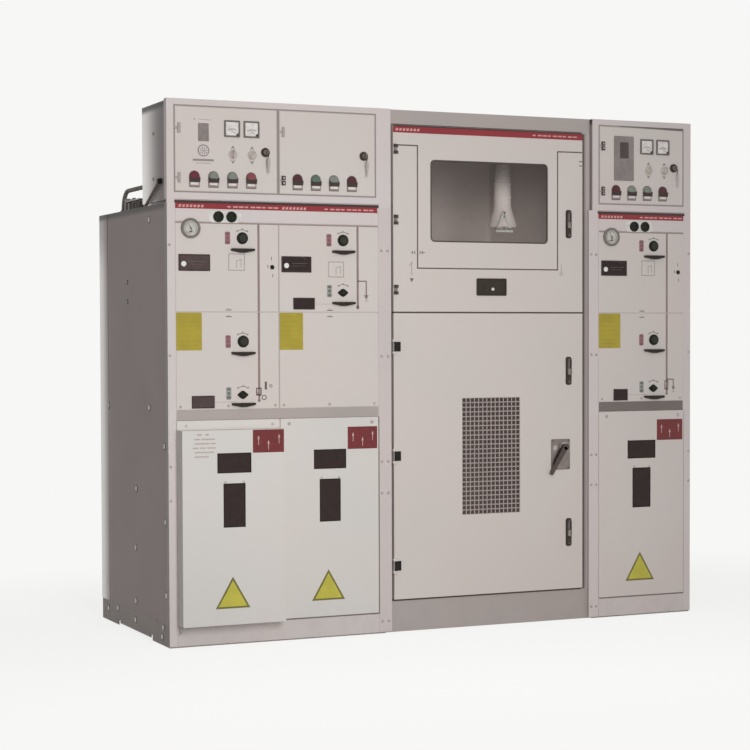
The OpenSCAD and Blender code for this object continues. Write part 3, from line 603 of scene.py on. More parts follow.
bandMark = printFinish("band marks", (212, 160, 160), 0.2, 0.45, (150, 70, 74))
plateRed = printFinish("plate red", (110, 38, 40), 0.05, 0.45)
plateYellow = printFinish("plate yellow", (172, 156, 58), 0.08, under=(150, 136, 70))
triangleYellow = printFinish("triangle yellow", (193, 185, 77), 0.05, under=(160, 150, 70))
rimOlive = printFinish("rim olive", (112, 108, 56), 0.1, under=(130, 126, 70))
ruleOlive = printFinish("rule olive", (150, 138, 46), 0.2, under=(176, 164, 62))
darkInk = printFinish("dark ink", (88, 78, 76), 0.25)
mimicInk = printFinish("mimic ink", (142, 122, 120), 0.12)
lineInk = printFinish("diagram line ink", (92, 78, 76), 0.1)
noteInk = printFinish("faint note ink", (186, 168, 165), 0.35)
pinkInk = printFinish("faded pink ink", (206, 176, 172), 0.2)
paleInk = printFinish("pale ink", (170, 162, 159))
seamInk = printFinish("thin rule ink", (150, 138, 134), 0.25)
whiteInk = printFinish("white ink", (236, 233, 229), 0.05, under=(200, 190, 188))
labelRed = printFinish("label red", (152, 104, 110), 0.15, 0.45)
labelMark = printFinish("label marks", (118, 84, 92), 0.15, 0.45)
labelGrey = printFinish("label grey green", (152, 159, 151), 0.15, 0.4)

rubber = {"rough": 0.6, "grain": 500.0}
gloss = {"rough": 0.3, "bump": 0.02, "worn": 0.04}
screwPale = plasticFinish("painted screw", (184, 175, 172), 0.45, worn=0.3)
blackPlastic = plasticFinish("black plastic", (28, 25, 24), 0.42, spec=0.22)
wornBlack = plasticFinish("worn black coat", (66, 56, 53), 0.45, worn=0.5, spec=0.25)
leverBrown = plasticFinish("lever coat", (84, 72, 68), worn=0.4)
blackRubber = plasticFinish("black rubber", (34, 31, 30), 0.66, 500.0, 0.3, spec=0.15)
gasketGrey = plasticFinish("gasket rubber", (92, 86, 82), **rubber, spec=0.15)
hoseGrey = plasticFinish("grey hose", (158, 152, 148), **rubber, bump=0.3, spec=0.2)
hoseBrown = plasticFinish("brown hose", (126, 110, 106), 0.5, 500.0, 0.3, spec=0.25)
darkGloss = plasticFinish("dark glossy plastic", (66, 54, 52), 0.34, bump=0.03, worn=0.05, spec=0.16)
displayFace = plasticFinish("display face", (84, 71, 69), **gloss, spec=0.16)
displayDark = plasticFinish("dark display face", (52, 42, 41), **gloss, spec=0.16)
screenGrey = plasticFinish("screen grey", (86, 79, 76), **gloss, spec=0.2)
darkPane = plasticFinish("dark pane", (54, 43, 41), 0.22, bump=0.02, worn=0.03, spec=0.16)
knobGreen = plasticFinish("dark green plastic", (30, 34, 27), spec=0.2)
knobInner = plasticFinish("knob centre", (50, 49, 42), spec=0.25)
lipGrey = plasticFinish("grip plastic", (50, 44, 40), 0.5, spec=0.2)
lockBrown = plasticFinish("lock housing brown", (56, 48, 40), 0.35, spec=0.25)
caseGrey = plasticFinish("controller grey", (144, 135, 133), 0.5, worn=0.05)
ventGrey = plasticFinish("vent grey", (150, 141, 138), 0.5, worn=0.05)
ivoryPlastic = plasticFinish("ivory plastic", (222, 218, 212), worn=0.04)
creamPlastic = plasticFinish("cream plastic", (192, 182, 175), 0.42, worn=0.06)
tagFrame = plasticFinish("tag frame", (150, 134, 130), 0.45, worn=0.1)
ringGrey = plasticFinish("gauge ring grey", (128, 122, 115), worn=0.1)
gaugeFace = plasticFinish("gauge face", (214, 209, 201), 0.5, bump=0.02, worn=0.05)
dialWhite = plasticFinish("dial white", (228, 222, 218), 0.55, bump=0.02, worn=0.03)
tagWhite = plasticFinish("tag white", (232, 226, 221), 0.42, bump=0.05, worn=0.03)
bezelGrey = plasticFinish("bezel grey", (116, 111, 107), 0.42, worn=0.1)
darkBezel = plasticFinish("dark bezel", (74, 68, 66), 0.45, worn=0.1)
lensTones = {
    "red": (104, 36, 52), "green": (92, 112, 98), "sage": (128, 134, 125),
    "pink": (132, 70, 74), "plum": (80, 36, 44),
}
lensGloss = {"rough": 0.3, "grain": 300.0, "bump": 0.05, "worn": 0.08, "coat": 0.15}
lensFinish = {tone: plasticFinish("lens " + tone, colour, **lensGloss) for tone, colour in lensTones.items()}

steel = metalFinish("plated steel", (176, 172, 168), 0.34)
darkSteel = metalFinish("dark steel", (92, 88, 86), stain=0.35)
boltZinc = metalFinish("zinc plated bolt", (146, 138, 132), stain=0.3, metallic=0.75)
boltBright = metalFinish("bright bolt", (198, 191, 187), 0.38, stain=0.18, metallic=0.6)
greySteel = metalFinish("grey cast fitting", (172, 167, 163), 0.5, stain=0.35, metallic=0.6)
brushedPlate = metalFinish("brushed plate", (140, 130, 126), 0.36, (0.06, 1.0, 1.0))
clearGlass = glassFinish("window glass", (120, 116, 112), 0.1)
dialGlass = glassFinish("dial glass", (200, 200, 196), 0.1, dirt=0.05)
print("finishes made:", len(bpy.data.materials))


def pointCloud(name, places):
    # a mesh of loose points, in metres in the object's frame
    mesh = bpy.data.meshes.new(name)
    mesh.from_pydata([toFrame @ Vector(p) for p in places], [], [])
    return linked(name, mesh)


def headShape(r, h, kind):
    # screw or bolt head modelled about the origin, facing the front, in metres
    shape = Shape()
    if kind == "hex":
        turned(shape, 0, 0, [(r * 1.32, 0), (r * 1.32, -h * 0.16), (r * 1.24, -h * 0.24)], 16, False)
        turned(shape, 0, 0, [(r, -h * 0.2), (r, -h * 0.86), (r * 0.86, -h)], 6, False)
    else:
        # pan head: the cross recess is four notches towards the middle
        profile = ((r, 0), (r, -h * 0.45), (r * 0.86, -h * 0.85), (r * 0.62, -h))
        reach = [(0.52, 0.2, 0.16, 0.2)[k % 4] for k in range(16)]
        cross = [(x * reach[k], z * reach[k]) for k, (x, z) in enumerate(wheel(r, 16))]
        rings = [[(x, y, z) for x, z in wheel(a, 16)] for a, y in profile]
        rings += [[(x, -h, z) for x, z in cross], [(x * 0.8, -h * 0.35, z * 0.8) for x, z in cross]]
        shape.stack(rings)
    return linked("head", shape.mesh("head", Matrix.Scale(0.001, 4)))


facings = {"front": (0, 0, 0), "left": (0, 0, -90), "right": (0, 0, 90), "back": (0, 0, 180)}


def fixings(name, places, radius, height, kind="pan", facing="front",
            finish=boltZinc, seed=1):
    head = headShape(radius, height, kind)
    piece = pointCloud(name, places)
    turn = [math.radians(a) for a in facings[facing]]
    runTree(piece, scatter, {"Head": head, "Facing": turn, "Seed": seed, "Finish": finish})
    bpy.data.objects.remove(head)
    return settle(piece, fixed, angle=28)


def softened(node, paints, radius=0.7, body=fixed, choose=None):
    # the solid's sheet metal with its edges eased, so that they catch the light as folded edges do
    bm = bmesh.new()
    bm.from_mesh(nodes[node].data)
    bmesh.ops.remove_doubles(bm, verts=bm.verts, dist=2e-6)
    bmesh.ops.dissolve_limit(bm, angle_limit=0.01, verts=bm.verts, edges=bm.edges)
    shadowLines = [e for e in bm.edges if len(e.link_faces) == 2 and e.calc_face_angle(0) > 0.7]
    sharp = [e for e in shadowLines if e.calc_length() > 0.004]
    easing = {"offset": radius * 0.001, "segments": 2, "profile": 0.5, "clamp_overlap": True}
    bmesh.ops.bevel(bm, geom=sharp, affect="EDGES", **easing)
    mesh = bpy.data.meshes.new(node + "Sheet")
    if choose:
        back = toFrame.inverted()
        for f in bm.faces:
            f.material_index = choose(back @ f.calc_center_median(), f.normal)
    bm.to_mesh(mesh)
    bm.free()
    piece = linked(node + "Sheet", mesh)
    for p in paints:
        mesh.materials.append(p)
    settle(piece, body, (node,), angle=50)
    # broad faces keep their own normal, so that only the eased edges look round
    piece.modifiers.new("normals", "WEIGHTED_NORMAL").keep_sharp = True
    piece.data = plainMesh(piece)


def dress(finish, node):
    # a carried-over solid keeps its shape and takes a better finish
    for held in nodes[node].material_slots:
        held.material = finish


# where one paint passes into another on a solid
paintLimits = {
    "postBack": 4.2, "railTop": 63, "plinthTop": 99, "frameBack": 18, "rightPost": 1417,
    "flangeBack": 25, "boxRear": 282, "boxHinges": -0.4, "doorHinges": -0.8,
    "room": (712.2, 80.2, 1451.8, 1636.8), "roomRear": (714, 719.8),
}


def cabinetPaint(p, n):
    # the inside of the frame, its bottom rail and its posts
    if p.y > paintLimits["postBack"]:
        return 1
    return 2 if p.z < paintLimits["railTop"] else 0


for name in ("left_frame", "right_frame"):
    softened(name, [edgePaint, innerPaint, railPaint], choose=cabinetPaint)

# beams between the fascias and the cable covers, their grey a painted shade of the recess, darker on the
# right: paint number, bottom, top, set-back and edge of a strip
beamSizes = {
    "spans": ((0, 26.5, 685.5), (1, 1480, 1805.5)),  # paint of the main strip, left end, right end
    "strips": ((None, 681, 712, 1.2, 0.3), (2, 1002, 1008, 0.5, 0), (2, 64, 67.5, 0.9, 0),
               (1, 1311.5, 1314, 0.5, 0), (1, 1269.6, 1273.2, 0.3, 0)),
    "back": 2.05,
}
s = Shape()
for paint, x0, x1 in beamSizes["spans"]:
    for ink, z0, z1, front, edge in beamSizes["strips"]:
        plates(s, paint if ink is None else ink, front, beamSizes["back"], (x0, z0, x1, z1), edge=edge)
plates(s, 2, 0.05, beamSizes["back"], (354, 713, 356, 1270))
# seams as narrow dark strips, partly dark joints and partly painted shadow: under the header, and round the
# cable covers
for x0, x1 in ((26, 685.5), (1479, 1805.5)):
    plates(s, 3, -0.18, 0.5, (x0, 1268.8, x1, 1273.4))
    plates(s, 1, -0.4, 0.5, (x0, 677.8, x1, 680.8))
for x0, x1 in ((358, 688), (1480, 1808)):
    plates(s, 1, -0.4, 0.5, (x0, 62.6, x1, 66.8))
    plates(s, 1, -0.5, 0.5, (x1 - 2.8, 66, x1, 680))
finishPiece("beams", s, [beamShadedPaint, gapPaint, jointPaint, ruleGrey])


def framePaint(p, n):
    # the plinth, the inside, the right post and the rest of the metering frame
    if p.z < paintLimits["plinthTop"]:
        return 1
    return 2 if p.y > paintLimits["frameBack"] else (3 if p.x > paintLimits["rightPost"] else 0)


def boxSidePaint(p, n):
    # the sides behind the front flange, and the rear
    return int(p.y > paintLimits["flangeBack"] and abs(n.x) > 0.5 or p.y > paintLimits["boxRear"])


# the metering frame stands back behind its doors; its greys are partly its own paint and partly painted shade
# of that recess
softened("mid_frame", [frameShadedPaint, plinthShadedPaint, innerPaint, postShadedPaint], choose=framePaint)
# painted shadow round the two metering doors, set back from their fronts, and on the post beside them, from
# dark by the door to the post's grey
s = Shape()
plates(s, 0, 14.5, 15.1, (1419.5, 99, 1431, 1588), (739, 97, 1419, 103.2))
plates(s, 0, 1.4, 12, (740, 1003.1, 1415, 1006.9))
plates(s, 2, 14.4, 15.1, (1431, 99.5, 1437, 1590))
plates(s, 1, 14.3, 15.1, (1437, 99.5, 1452.4, 1593))
finishPiece("doorSeams", s, [doorShadowPaint, postShadedPaint, gapSoft])
for name in ("left_box", "right_box"):
    softened(name, [edgePaint, boxShadedPaint], choose=boxSidePaint)
fascias = [f"fascia_{unit}_{part}" for unit in units for part in ("up", "low")]
for name in (*fascias, "cover_c", "upper_door"):
    softened(name, [frontPaint])
for name in ("cover_a", "cover_b", "gusset_a"):
    softened(name, [coverPaint])
for name in ("box_door_a", "box_door_b", "box_door_c"):
    softened(name, [frontPaint, hingeSoft], choose=lambda p, n: int(p.y < paintLimits["boxHinges"]))
softened("seam_strip_b", [edgePaint])
for name in ("left_band", "right_band"):
    softened(name, [bandRed], 0.3)

# the seam strip and the flange of the instrument box above it end in one line beside the metering door
flangeSizes = {
    "strip": (687, 4, 730, 1331), "flange": ((708.6, 0.2, 1340), (730, 13, 1637.8)),
    "steps": ((0, 24), (688, 730), (1441, 1475), (1810, 1834)), "stepZ": (1330.6, 1340.4),
}
s = Shape()
plate(s, flangeSizes["strip"], 0, 2, 0, 0.6)
finishPiece("seamStripLeft", s, [stripPaint], ("seam_strip_a",))
s = Shape()
block(s, *flangeSizes["flange"], 0.7)
z0, z1 = flangeSizes["stepZ"]
plates(s, 0, 0.8, 6, *[(x0, z0, x1, z1) for x0, x1 in flangeSizes["steps"]], edge=0.3)
finishPiece("boxFlanges", s, [edgePaint])

# bands: the metering one sits on the upper edge of its door, each with a dark line of painted shadow along
# its top
bandSizes = {
    "mid": (738.2, 1566, 1416.8, 1585.4), "shadowTop": 1588.8,
    "shadowLines": ((24, 1329.2, 688, 1337), (1475, 1329.2, 1810, 1337)),
    # left end, middle height, face and width of the row of bars, and left end of the rules
    "marks": ((746, 1575.5, -1, 86, 1232), (36, 1320.5, 0, 82, 190), (366, 1320.5, 0, 82, 506),
              (1488, 1320.5, 0, 84, 1636)),
    "bars": 7, "barHalf": 3.8, "rules": 9, "rulePitch": 18.6, "ruleHalf": 2.2, "proud": 0.12,
}
x0, z0, x1, z1 = bandSizes["mid"]
s = Shape()
plate(s, bandSizes["mid"], -1, 0, 0.5, 0.3)
plates(s, 1, -0.9, 0.4, (x0, z1, x1, bandSizes["shadowTop"]), edge=0.2)
plates(s, 1, -0.5, 4, *bandSizes["shadowLines"], edge=0.2)
# plain pale bars and rules along the bands
half, ruleHalf = bandSizes["barHalf"], bandSizes["ruleHalf"]
for x0, z, y, wide, rule in bandSizes["marks"]:
    front, back = y - bandSizes["proud"], y + 0.3
    s.ink = 2
    pitch = wide / bandSizes["bars"]
    for x in [x0 + pitch * k for k in range(bandSizes["bars"])]:
        bar = [(x, z - half), (x + pitch - 4.2, z - half), (x + pitch - 2.4, z + half), (x + 1.8, z + half)]
        slab(s, bar, front, back)
    for k in range(bandSizes["rules"]):
        x = rule + bandSizes["rulePitch"] * k
        plate(s, (x, z - ruleHalf, x + (15 if k % 3 else 11), z + ruleHalf), front, back)
finishPiece("bandMid", s, [bandRed, bandShadow, bandMark], ("mid_band",))


def shellPaint(p, n):
    # the room behind the doors has its own paint, with painted shade and glow; the rear panel's two faces lie
    # close together
    x0, z0, x1, z1 = paintLimits["room"]
    rear = paintLimits["roomRear"][0 if n.y > 0.5 else 1]
    return int(x0 < p.x < x1 and p.y < rear and z0 < p.z < z1)


for name in ("left_case", "right_case"):
    softened(name, [caseShadedPaint], 0.8)
softened("mid_case", [meterShadedPaint, shellInside], 0.8, choose=shellPaint)
# the bases take the plinth grey, which is partly painted shade
for name in ("left_base", "mid_base", "right_base"):
    softened(name, [plinthShadedPaint])
softened("lower_door", [frontPaint, blackPlastic], body=leaf,
         choose=lambda p, n: int(p.y < paintLimits["doorHinges"]))
dress(innerPaint, "mid_shelf")
print("sheet metal eased")

gaugeSizes = {"x": 48, "z": 1254, "r": 30, "pointer": 118, "marks": 25, "sweep": 270}


def gasGauge(name, ux, node):
    s, x, z, r = Shape(), ux + gaugeSizes["x"], gaugeSizes["z"], gaugeSizes["r"]
    bezel = ((7.6, -4.2), (7.2, -8.2), (5.6, -9.6), (3.4, -10), (1.4, -9.2), (0, -7), (0, 0))
    turned(s, x, z, [(r - a, y) for a, y in bezel], 48)
    s.ink = 1
    disc(s, x, z, r - 7.6, -4.6, -4.1, 40)
    strokes(s, 2, 2.6, arcPoints(x, z, r - 13, 215, 262, 8), front=-4.8, back=-4.6)
    strokes(s, 3, 1.6, arcPoints(x, z, r - 13, -35, 200, 20), front=-4.8, back=-4.6)
    s.ink = 4
    (a, b), (c, d) = away(gaugeSizes["pointer"], 19), away(gaugeSizes["pointer"], -7)
    slab(s, [(x + c - 1.5, z + d - 0.8), (x + c + 1.5, z + d + 0.8), (x + a, z + b)], -6.2, -5.6)
    turned(s, x, z, [(2.8, -4.6), (2.8, -6.6), (1.8, -7.2)], 16)
    plate(s, (x - 5, z - 13, x + 5, z - 7.5), -4.9, -4.6, 1)
    s.ink = 5
    turned(s, x, z, [(r - 7.3, -7.4), (r - 7.3, -8), (r - 12, -8.4), (0, -8.6)], 40)
    finishPiece(name, s, [ringGrey, gaugeFace, labelRed, labelGrey, wornBlack, dialGlass], (node,))
    ticks = pointCloud(name + "Marks", [(x, -4.75, z)])
    arc = {"Radius": 0.0192, "Start": math.radians(-45), "Sweep": math.radians(gaugeSizes["sweep"])}
    marks = {"Marks": gaugeSizes["marks"], "Length": 0.0034, "Width": 0.0007, "Finish": darkInk}
    settle(runTree(ticks, dial, {**arc, **marks}), fixed)


gasGauge("gasGaugeLeft", units["a"], "left_gauge")
gasGauge("gasGaugeRight", units["c"], "right_gauge")

operating = {
    "knobX": 212, "knobR": 18, "knobDepth": 8, "lipWide": 74, "lipTall": 12.4, "lipDepth": 14, "legendX": 165,
    "rounds": {"a": (1227, 916), "b": (1226,), "c": (1227, 916)},
    "eyes": {"a": (755,), "b": (1065,), "c": (755,)},
    "lips": {"a": (1189.5, 878.5, 724.5), "b": (1188.5, 1030.5), "c": (1189.5, 878.5, 724.5)},
}


def roundKnob(s, x, z):
    r, d = operating["knobR"], operating["knobDepth"]
    s.ink = 0
    rim = [(r, 0), (r, -2.4), (r - 0.8, -3.2), (r - 3, -3.4), (r - 3.6, 0.9 - d), (r - 4.6, -d)]
    turned(s, x, z, rim + [(6.6, -d), (6, 0.5 - d), (5.6, -3)], 36)
    slab(s, [(x - 2.2, z + r - 2.6), (x + 2.2, z + r - 2.6), (x, z + r + 0.4)], -3.6, 0, 0.2)
    s.ink = 1
    slab(s, circle(x, z, 3.6, 6), -6.2, -2.9, 0.5)
    s.ink = 2
    turned(s, x, z, [(6.8, 0.2 - d), (11.6, 0.2 - d), (11.4, -d - 0.4), (7, -d - 0.4)], 32, False)


def eyeKnob(s, x, z):
    # lozenge plate with rounded ends and a round lock in it
    s.ink = 0
    outline = []
    ends = ((13, 0, 4, -55, 55), (0, 3.5, 9, 62, 118), (-13, 0, 4, 125, 235), (0, -3.5, 9, 242, 298))
    for dx, dz, r, start, end in ends:
        outline += arcPoints(x + dx, z + dz, r, start, end, 4)
    slab(s, outline, -3.4, 0, 0.8)
    turned(s, x, z, [(8.6, -3), (8.6, -7), (7.6, -8), (4.6, -8), (4.2, -7.4), (4.2, -4.6)], 28)
    s.ink = 1
    turned(s, x, z, [(2.4, -4.4), (2.4, -6), (1.8, -6.6)], 12)


def lip(s, x, z):
    # crescent grip: flat along the top, round below, thicker at its root
    w, h = operating["lipWide"] / 2, operating["lipTall"]
    left = [(1.4 - w, 0), (-w, -1), (-w, -5.6), (2 - w, -7), (-w * 0.55, -9.6), (-w * 0.2, -h)]
    outline = left + [(-a, b) for a, b in left[::-1]]
    slab(s, [(x + a, z + h / 2 + b) for a, b in outline], -operating["lipDepth"], 0, 1.2)


def legend(s, x, z, ink):
    # label: a coloured strip with three darker marks
    plates(s, ink, -0.9, 0, (x - 8.4, z - 19, x + 8.4, z + 19), r=4, edge=0.3)
    for dz, wide, tall in ((-12.5, 6.4, 4.6), (0, 4.4, 5), (12.5, 6.2, 4)):
        plates(s, ink + 2, -1.0, -0.85, (x - wide, z + dz - tall, x + wide, z + dz + tall), r=3.4)


def operatingSet(unit, knobs=(), lips=()):
    name, ux = "unit" + unit.upper(), units[unit]
    rounds, eyes = operating["rounds"][unit], operating["eyes"][unit]
    s, x = Shape(), ux + operating["knobX"]
    for z in rounds:
        roundKnob(s, x + (0 if z > 1000 else 1), z)
    for z in eyes:
        eyeKnob(s, x - 1, z)
    finishPiece(name + "Knobs", s, [knobGreen, darkSteel, knobInner], knobs)
    s = Shape()
    for z in operating["lips"][unit]:
        lip(s, x, z)
    finishPiece(name + "Lips", s, [lipGrey], lips)
    s, x = Shape(), ux + operating["legendX"]
    for z in rounds:
        legend(s, x, z, 0)
    for z in eyes:
        legend(s, x + 1, z + 5, 1)
    finishPiece(name + "Legends", s, [labelRed, labelGrey, labelMark, bezelGrey])


operatingSet("a", ("left_knobs",), ("left_rails",))
operatingSet("b")
operatingSet("c", ("right_knobs",), ("right_rails",))

socketSizes = {"x": 136, "pitch": 41.5, "z": 1290, "r": 16.5, "depth": 6,
               "plate": (104, 1272.5, 209.5, 1307.5)}


def socketPair(name, ux):
    s, z, r, d = Shape(), socketSizes["z"], socketSizes["r"], socketSizes["depth"]
    plate(s, shifted(socketSizes["plate"], ux), -0.8, 0, 15, 0.3, 8)
    for k in (0, 1):
        x = ux + socketSizes["x"] + k * socketSizes["pitch"]
        s.ink = 1
        turned(s, x, z, [(r, -0.5), (r, -4.4), (r - 1.2, -d), (11.4, -d), (10.6, 0.8 - d), (10.6, -2)], 36)
        s.ink = 2
        for dx, dz in [away(a, 6) for a in (90, 210, 330)]:
            turned(s, x + dx, z + dz, [(1.7, -1.9), (1.7, -4.4), (1.1, -5)], 12)
    finishPiece(name, s, [ivoryPlastic, knobGreen, darkSteel])


socketPair("testSocketsLeft", units["a"])
socketPair("testSocketsRight", units["c"])

# dark displays, indicator windows, the yellow plates and the stickers on the fascias
faceSizes = {
    "display": {"a": (10, 1127, 109, 1177), "b": (8, 1126, 106, 1175), "c": (11, 1127, 108, 1177)},
    "indicator": {"a": (49, 716, 121, 754), "b": (46, 1013, 117, 1049), "c": (58, 716, 112, 754)},
    "yellow": {"a": (1.8, 890, 82, 1003), "b": (1.8, 890, 78, 1003), "c": (1.8, 889, 84, 1003)},
    "sticker": {"a": (167, 1129, 220, 1181), "b": (162, 1112, 215, 1161), "c": (165, 1128, 217, 1179)},
}


def faceplates(unit):
    name, ux, s = "unit" + unit.upper(), units[unit], Shape()
    box = shifted(faceSizes["display"][unit], ux)
    x, z = box[0], (box[1] + box[3]) / 2
    plate(s, box, -3, 0, 2, 0.8)
    plates(s, 1, -3.2, -2.9, grown(box, -4), r=1.2, edge=0.1)
    s.ink = 2
    turned(s, x + 15.5, z - 4, [(8, -3.1), (8, -4.2), (6.6, -5), (0, -5.6)], 24)
    strokes(s, 3, 0.9, [(x + 32, z + 3), (x + 84, z + 3)], front=-3.35, back=-3.2)
    faint = ([(x + 35, z - 5), (x + 78, z - 5)], arcPoints(x + 58, z - 2, 26, 35, 75, 6))
    strokes(s, 3, 0.6, *faint, front=-3.35, back=-3.2)
    box = shifted(faceSizes["indicator"][unit], ux)
    plates(s, 0, -2.4, 0, box, r=1.5, edge=0.7)
    plates(s, 1, -2.6, -2.3, grown(box, -3), r=1, edge=0.1)
    z = (box[1] + box[3]) / 2 - 1
    strokes(s, 4, 0.9, [(box[2] + 1, z), (ux + operating["knobX"] - 21, z)], front=-0.35)
    face = displayFace if unit == "a" else displayDark
    finishPiece(name + "Displays", s, [darkGloss, face, whiteInk, bezelGrey, seamInk])
    s, box = Shape(), shifted(faceSizes["yellow"][unit], ux)
    plate(s, box, -0.5, 0, 1, 0.15)
    for k in range(7):
        z = box[3] - 12 - k * 14.5
        strokes(s, 1, 0.8, [(box[0] + 9, z), (box[2] - (9 if k % 3 else 16), z)], front=-0.6, back=-0.5)
    finishPiece(name + "YellowPlate", s, [plateYellow, ruleOlive])


for unit in units:
    faceplates(unit)

# printed lines: mimic diagram, position marks of the key lock, stickers, scale arcs
mimicSizes = {"x": {"a": 264, "b": 261, "c": 264}, "wide": 7, "thin": 4.4, "top": 1270, "out": -0.3}
lockSpot = {"x": 308, "z": 1141}


def unitPrint(unit):
    ux, s = units[unit], Shape()
    x, out, wide, top = ux + mimicSizes["x"][unit], mimicSizes["out"], mimicSizes["wide"], mimicSizes["top"]
    if unit == "b":
        strokes(s, 0, wide, [(x, 1020), (x, top)])
        disc(s, x, 1019, 5.4, out)
    else:
        strokes(s, 0, wide, [(x, 742), (x, 1003.5)], [(x, 1006.5), (x, top)])
        strokes(s, 0, 1.6, [(x - 9, 766), (x - 2, 759), (x - 9, 752)])
        turned(s, x, 737, [(5.2, 0), (5.2, out), (3.2, out)], 16)
    if unit == "a":
        plates(s, 1, out, 0, (x + 18, 770, x + 25, 794))
        for dx, z, r, inner, count in ((38, 781, 5, 3, 16), (16, 746, 8, 5.2, 20)):
            frameRing(s, circle(x + dx, z, r, count), circle(x + dx, z, inner, count), out, 0, 0.05)
        boxFrame(s, (x - 10, 752, x + 8, 776), 3.5, out, 0, 0.05)
    else:
        # branch to earth: its line, arrow and bar
        px, start, end = (x + 29, 1101, 1043) if unit == "b" else (x + 26, 784, 746)
        half, root, low = (8, 15, 13) if unit == "b" else (7, 14, 12)
        strokes(s, 0, mimicSizes["thin"], [(x, start), (px, start), (px, end + low)])
        slab(s, [(px - half, end + root), (px, end), (px + half, end + root)], out, 0)
        bar = end - (3 if unit == "b" else 4)
        strokes(s, 0, 1.6, [(px - 6, bar), (px + 6, bar)])
    if unit == "c":
        boxFrame(s, (x - 9, 750, x + 7, 780), 3.5, out, 0, 0.05)
    # scale arcs over the operating points
    x = ux + operating["knobX"]
    for z in operating["rounds"][unit] + operating["eyes"][unit]:
        strokes(s, 1, 1.7, arcPoints(x, z, 25.5, 48, 132, 10))
        for c, d in [away(a) for a in (52, 90, 128)]:
            stroke(s, [(x + 25 * c, z + 25 * d), (x + 29 * c, z + 30 * d)], 2.2)
    if unit != "b":
        x, z = ux + lockSpot["x"], lockSpot["z"]
        for px, pz in ((x - 2, z + 26), (x - 14, z + 2), (x + 2, z - 26)):
            strokes(s, 1, 2.0, [(px, pz - 5), (px, pz + 5)])
    # joint marks and the outline of the sticker
    for z in (1011, 991):
        stroke(s, [(ux + 158, z), (ux + 177, z)], 2.4)
        stroke(s, [(ux + 164, z + 4), (ux + 170, z + 4)], 1.0)
    s.ink = 2
    box = x0, z0, x1, z1 = shifted(faceSizes["sticker"][unit], ux)
    boxFrame(s, box, 3, out, 0, 0.05)
    middle = (x0 + x1) / 2
    stroke(s, [(middle, z0 + 8), (middle, z0 + 30), (x1 - 12, z0 + 34), (x1 - 12, z0 + 10)], 2.4)
    finishPiece("unit" + unit.upper() + "Print", s, [mimicInk, darkInk, paleInk])


for unit in units:
    unitPrint(unit)

s = Shape()
for unit in ("a", "c"):
    x, z = units[unit] + lockSpot["x"], lockSpot["z"]
    s.ink = 1
    turned(s, x, z, [(7.2, 0), (7.2, -1.2), (6.4, -1.8)], 24)
    s.ink = 0
    turned(s, x, z, [(5.4, -1.7), (5.4, -3), (4.6, -3.6)], 20)
finishPiece("keyLocks", s, [blackPlastic, darkSteel])
print("switch unit faces made")

boxSizes = {
    "meterZ": 1554, "meter": 50, "meters": {"a": (206, 268), "c": (1661.5, 1723.5)},
    "selectorZ": 1477, "selectors": {"a": (209, 270), "c": (1669, 1730)},
    "lockZ": 1487, "locks": {"a": 312.5, "b": 637.5, "c": 1766},
    "lampZ": 1409, "lampR": 16, "lamps": {"a": 86.5, "b": 417, "c": 1543.5}, "lampPitch": 60,
    "lampTones": {
        "a": ("red", "sage", "sage", "pink"), "b": ("plum", "green", "sage", "plum"),
        "c": ("plum", "sage", "sage", "plum"),
    },
    "hinges": {"a": 38.5, "b": 370.5, "c": 1494}, "hingeZ": (1404, 1551),
}


def panelMeter(s, x, z, swing):
    h = boxSizes["meter"] / 2
    box, cornerX, cornerZ = (x - h, z - h, x + h, z + h), x + h - 5.2, z - h + 5.2
    s.ink = 0
    boxFrame(s, box, 4.2, -5, 0, 0.8, 2.2, 1.2)
    s.ink = 3
    boxFrame(s, grown(box, -4), 0.9, -4.2, -0.2, 0.3, 1.2, 1.2)
    plates(s, 1, -2.6, -0.2, grown(box, -4.7))
    # cover of the movement in the lower right corner, the scale's line and the pointer
    s.ink = 4
    slab(s, arcPoints(cornerX, cornerZ, 7, 92, 178, 8) + [(cornerX, cornerZ)], -3.6, -2.5, 0.3)
    strokes(s, 2, 1.3, arcPoints(x + 1, z - 25, 24, 58, 128, 14), front=-2.8, back=-2.6)
    a, b = away(swing, 15)
    stroke(s, [(x + 10, z - 13.5), (x + 10 + a, z - 13.5 + b)], 1.0, -3.4, -3.1)


def meterSet(name, box, node):
    s, spots, z = Shape(), boxSizes["meters"][box], boxSizes["meterZ"]
    for k, x in enumerate(spots):
        panelMeter(s, x, z, 152 - 9 * k)
    finishPiece(name, s, [bezelGrey, dialWhite, darkInk, darkBezel, wornBlack], (node,))
    marks = pointCloud(name + "Marks", [(x + 1, -2.75, z - 25) for x in spots])
    arc = {"Radius": 0.0262, "Start": math.radians(58), "Sweep": math.radians(70), "Marks": 9}
    runTree(marks, dial, {**arc, "Length": 0.0030, "Width": 0.0005, "Finish": darkInk})
    settle(marks, fixed)


meterSet("metersLeft", "a", "left_meters")
meterSet("metersRight", "c", "right_meters")


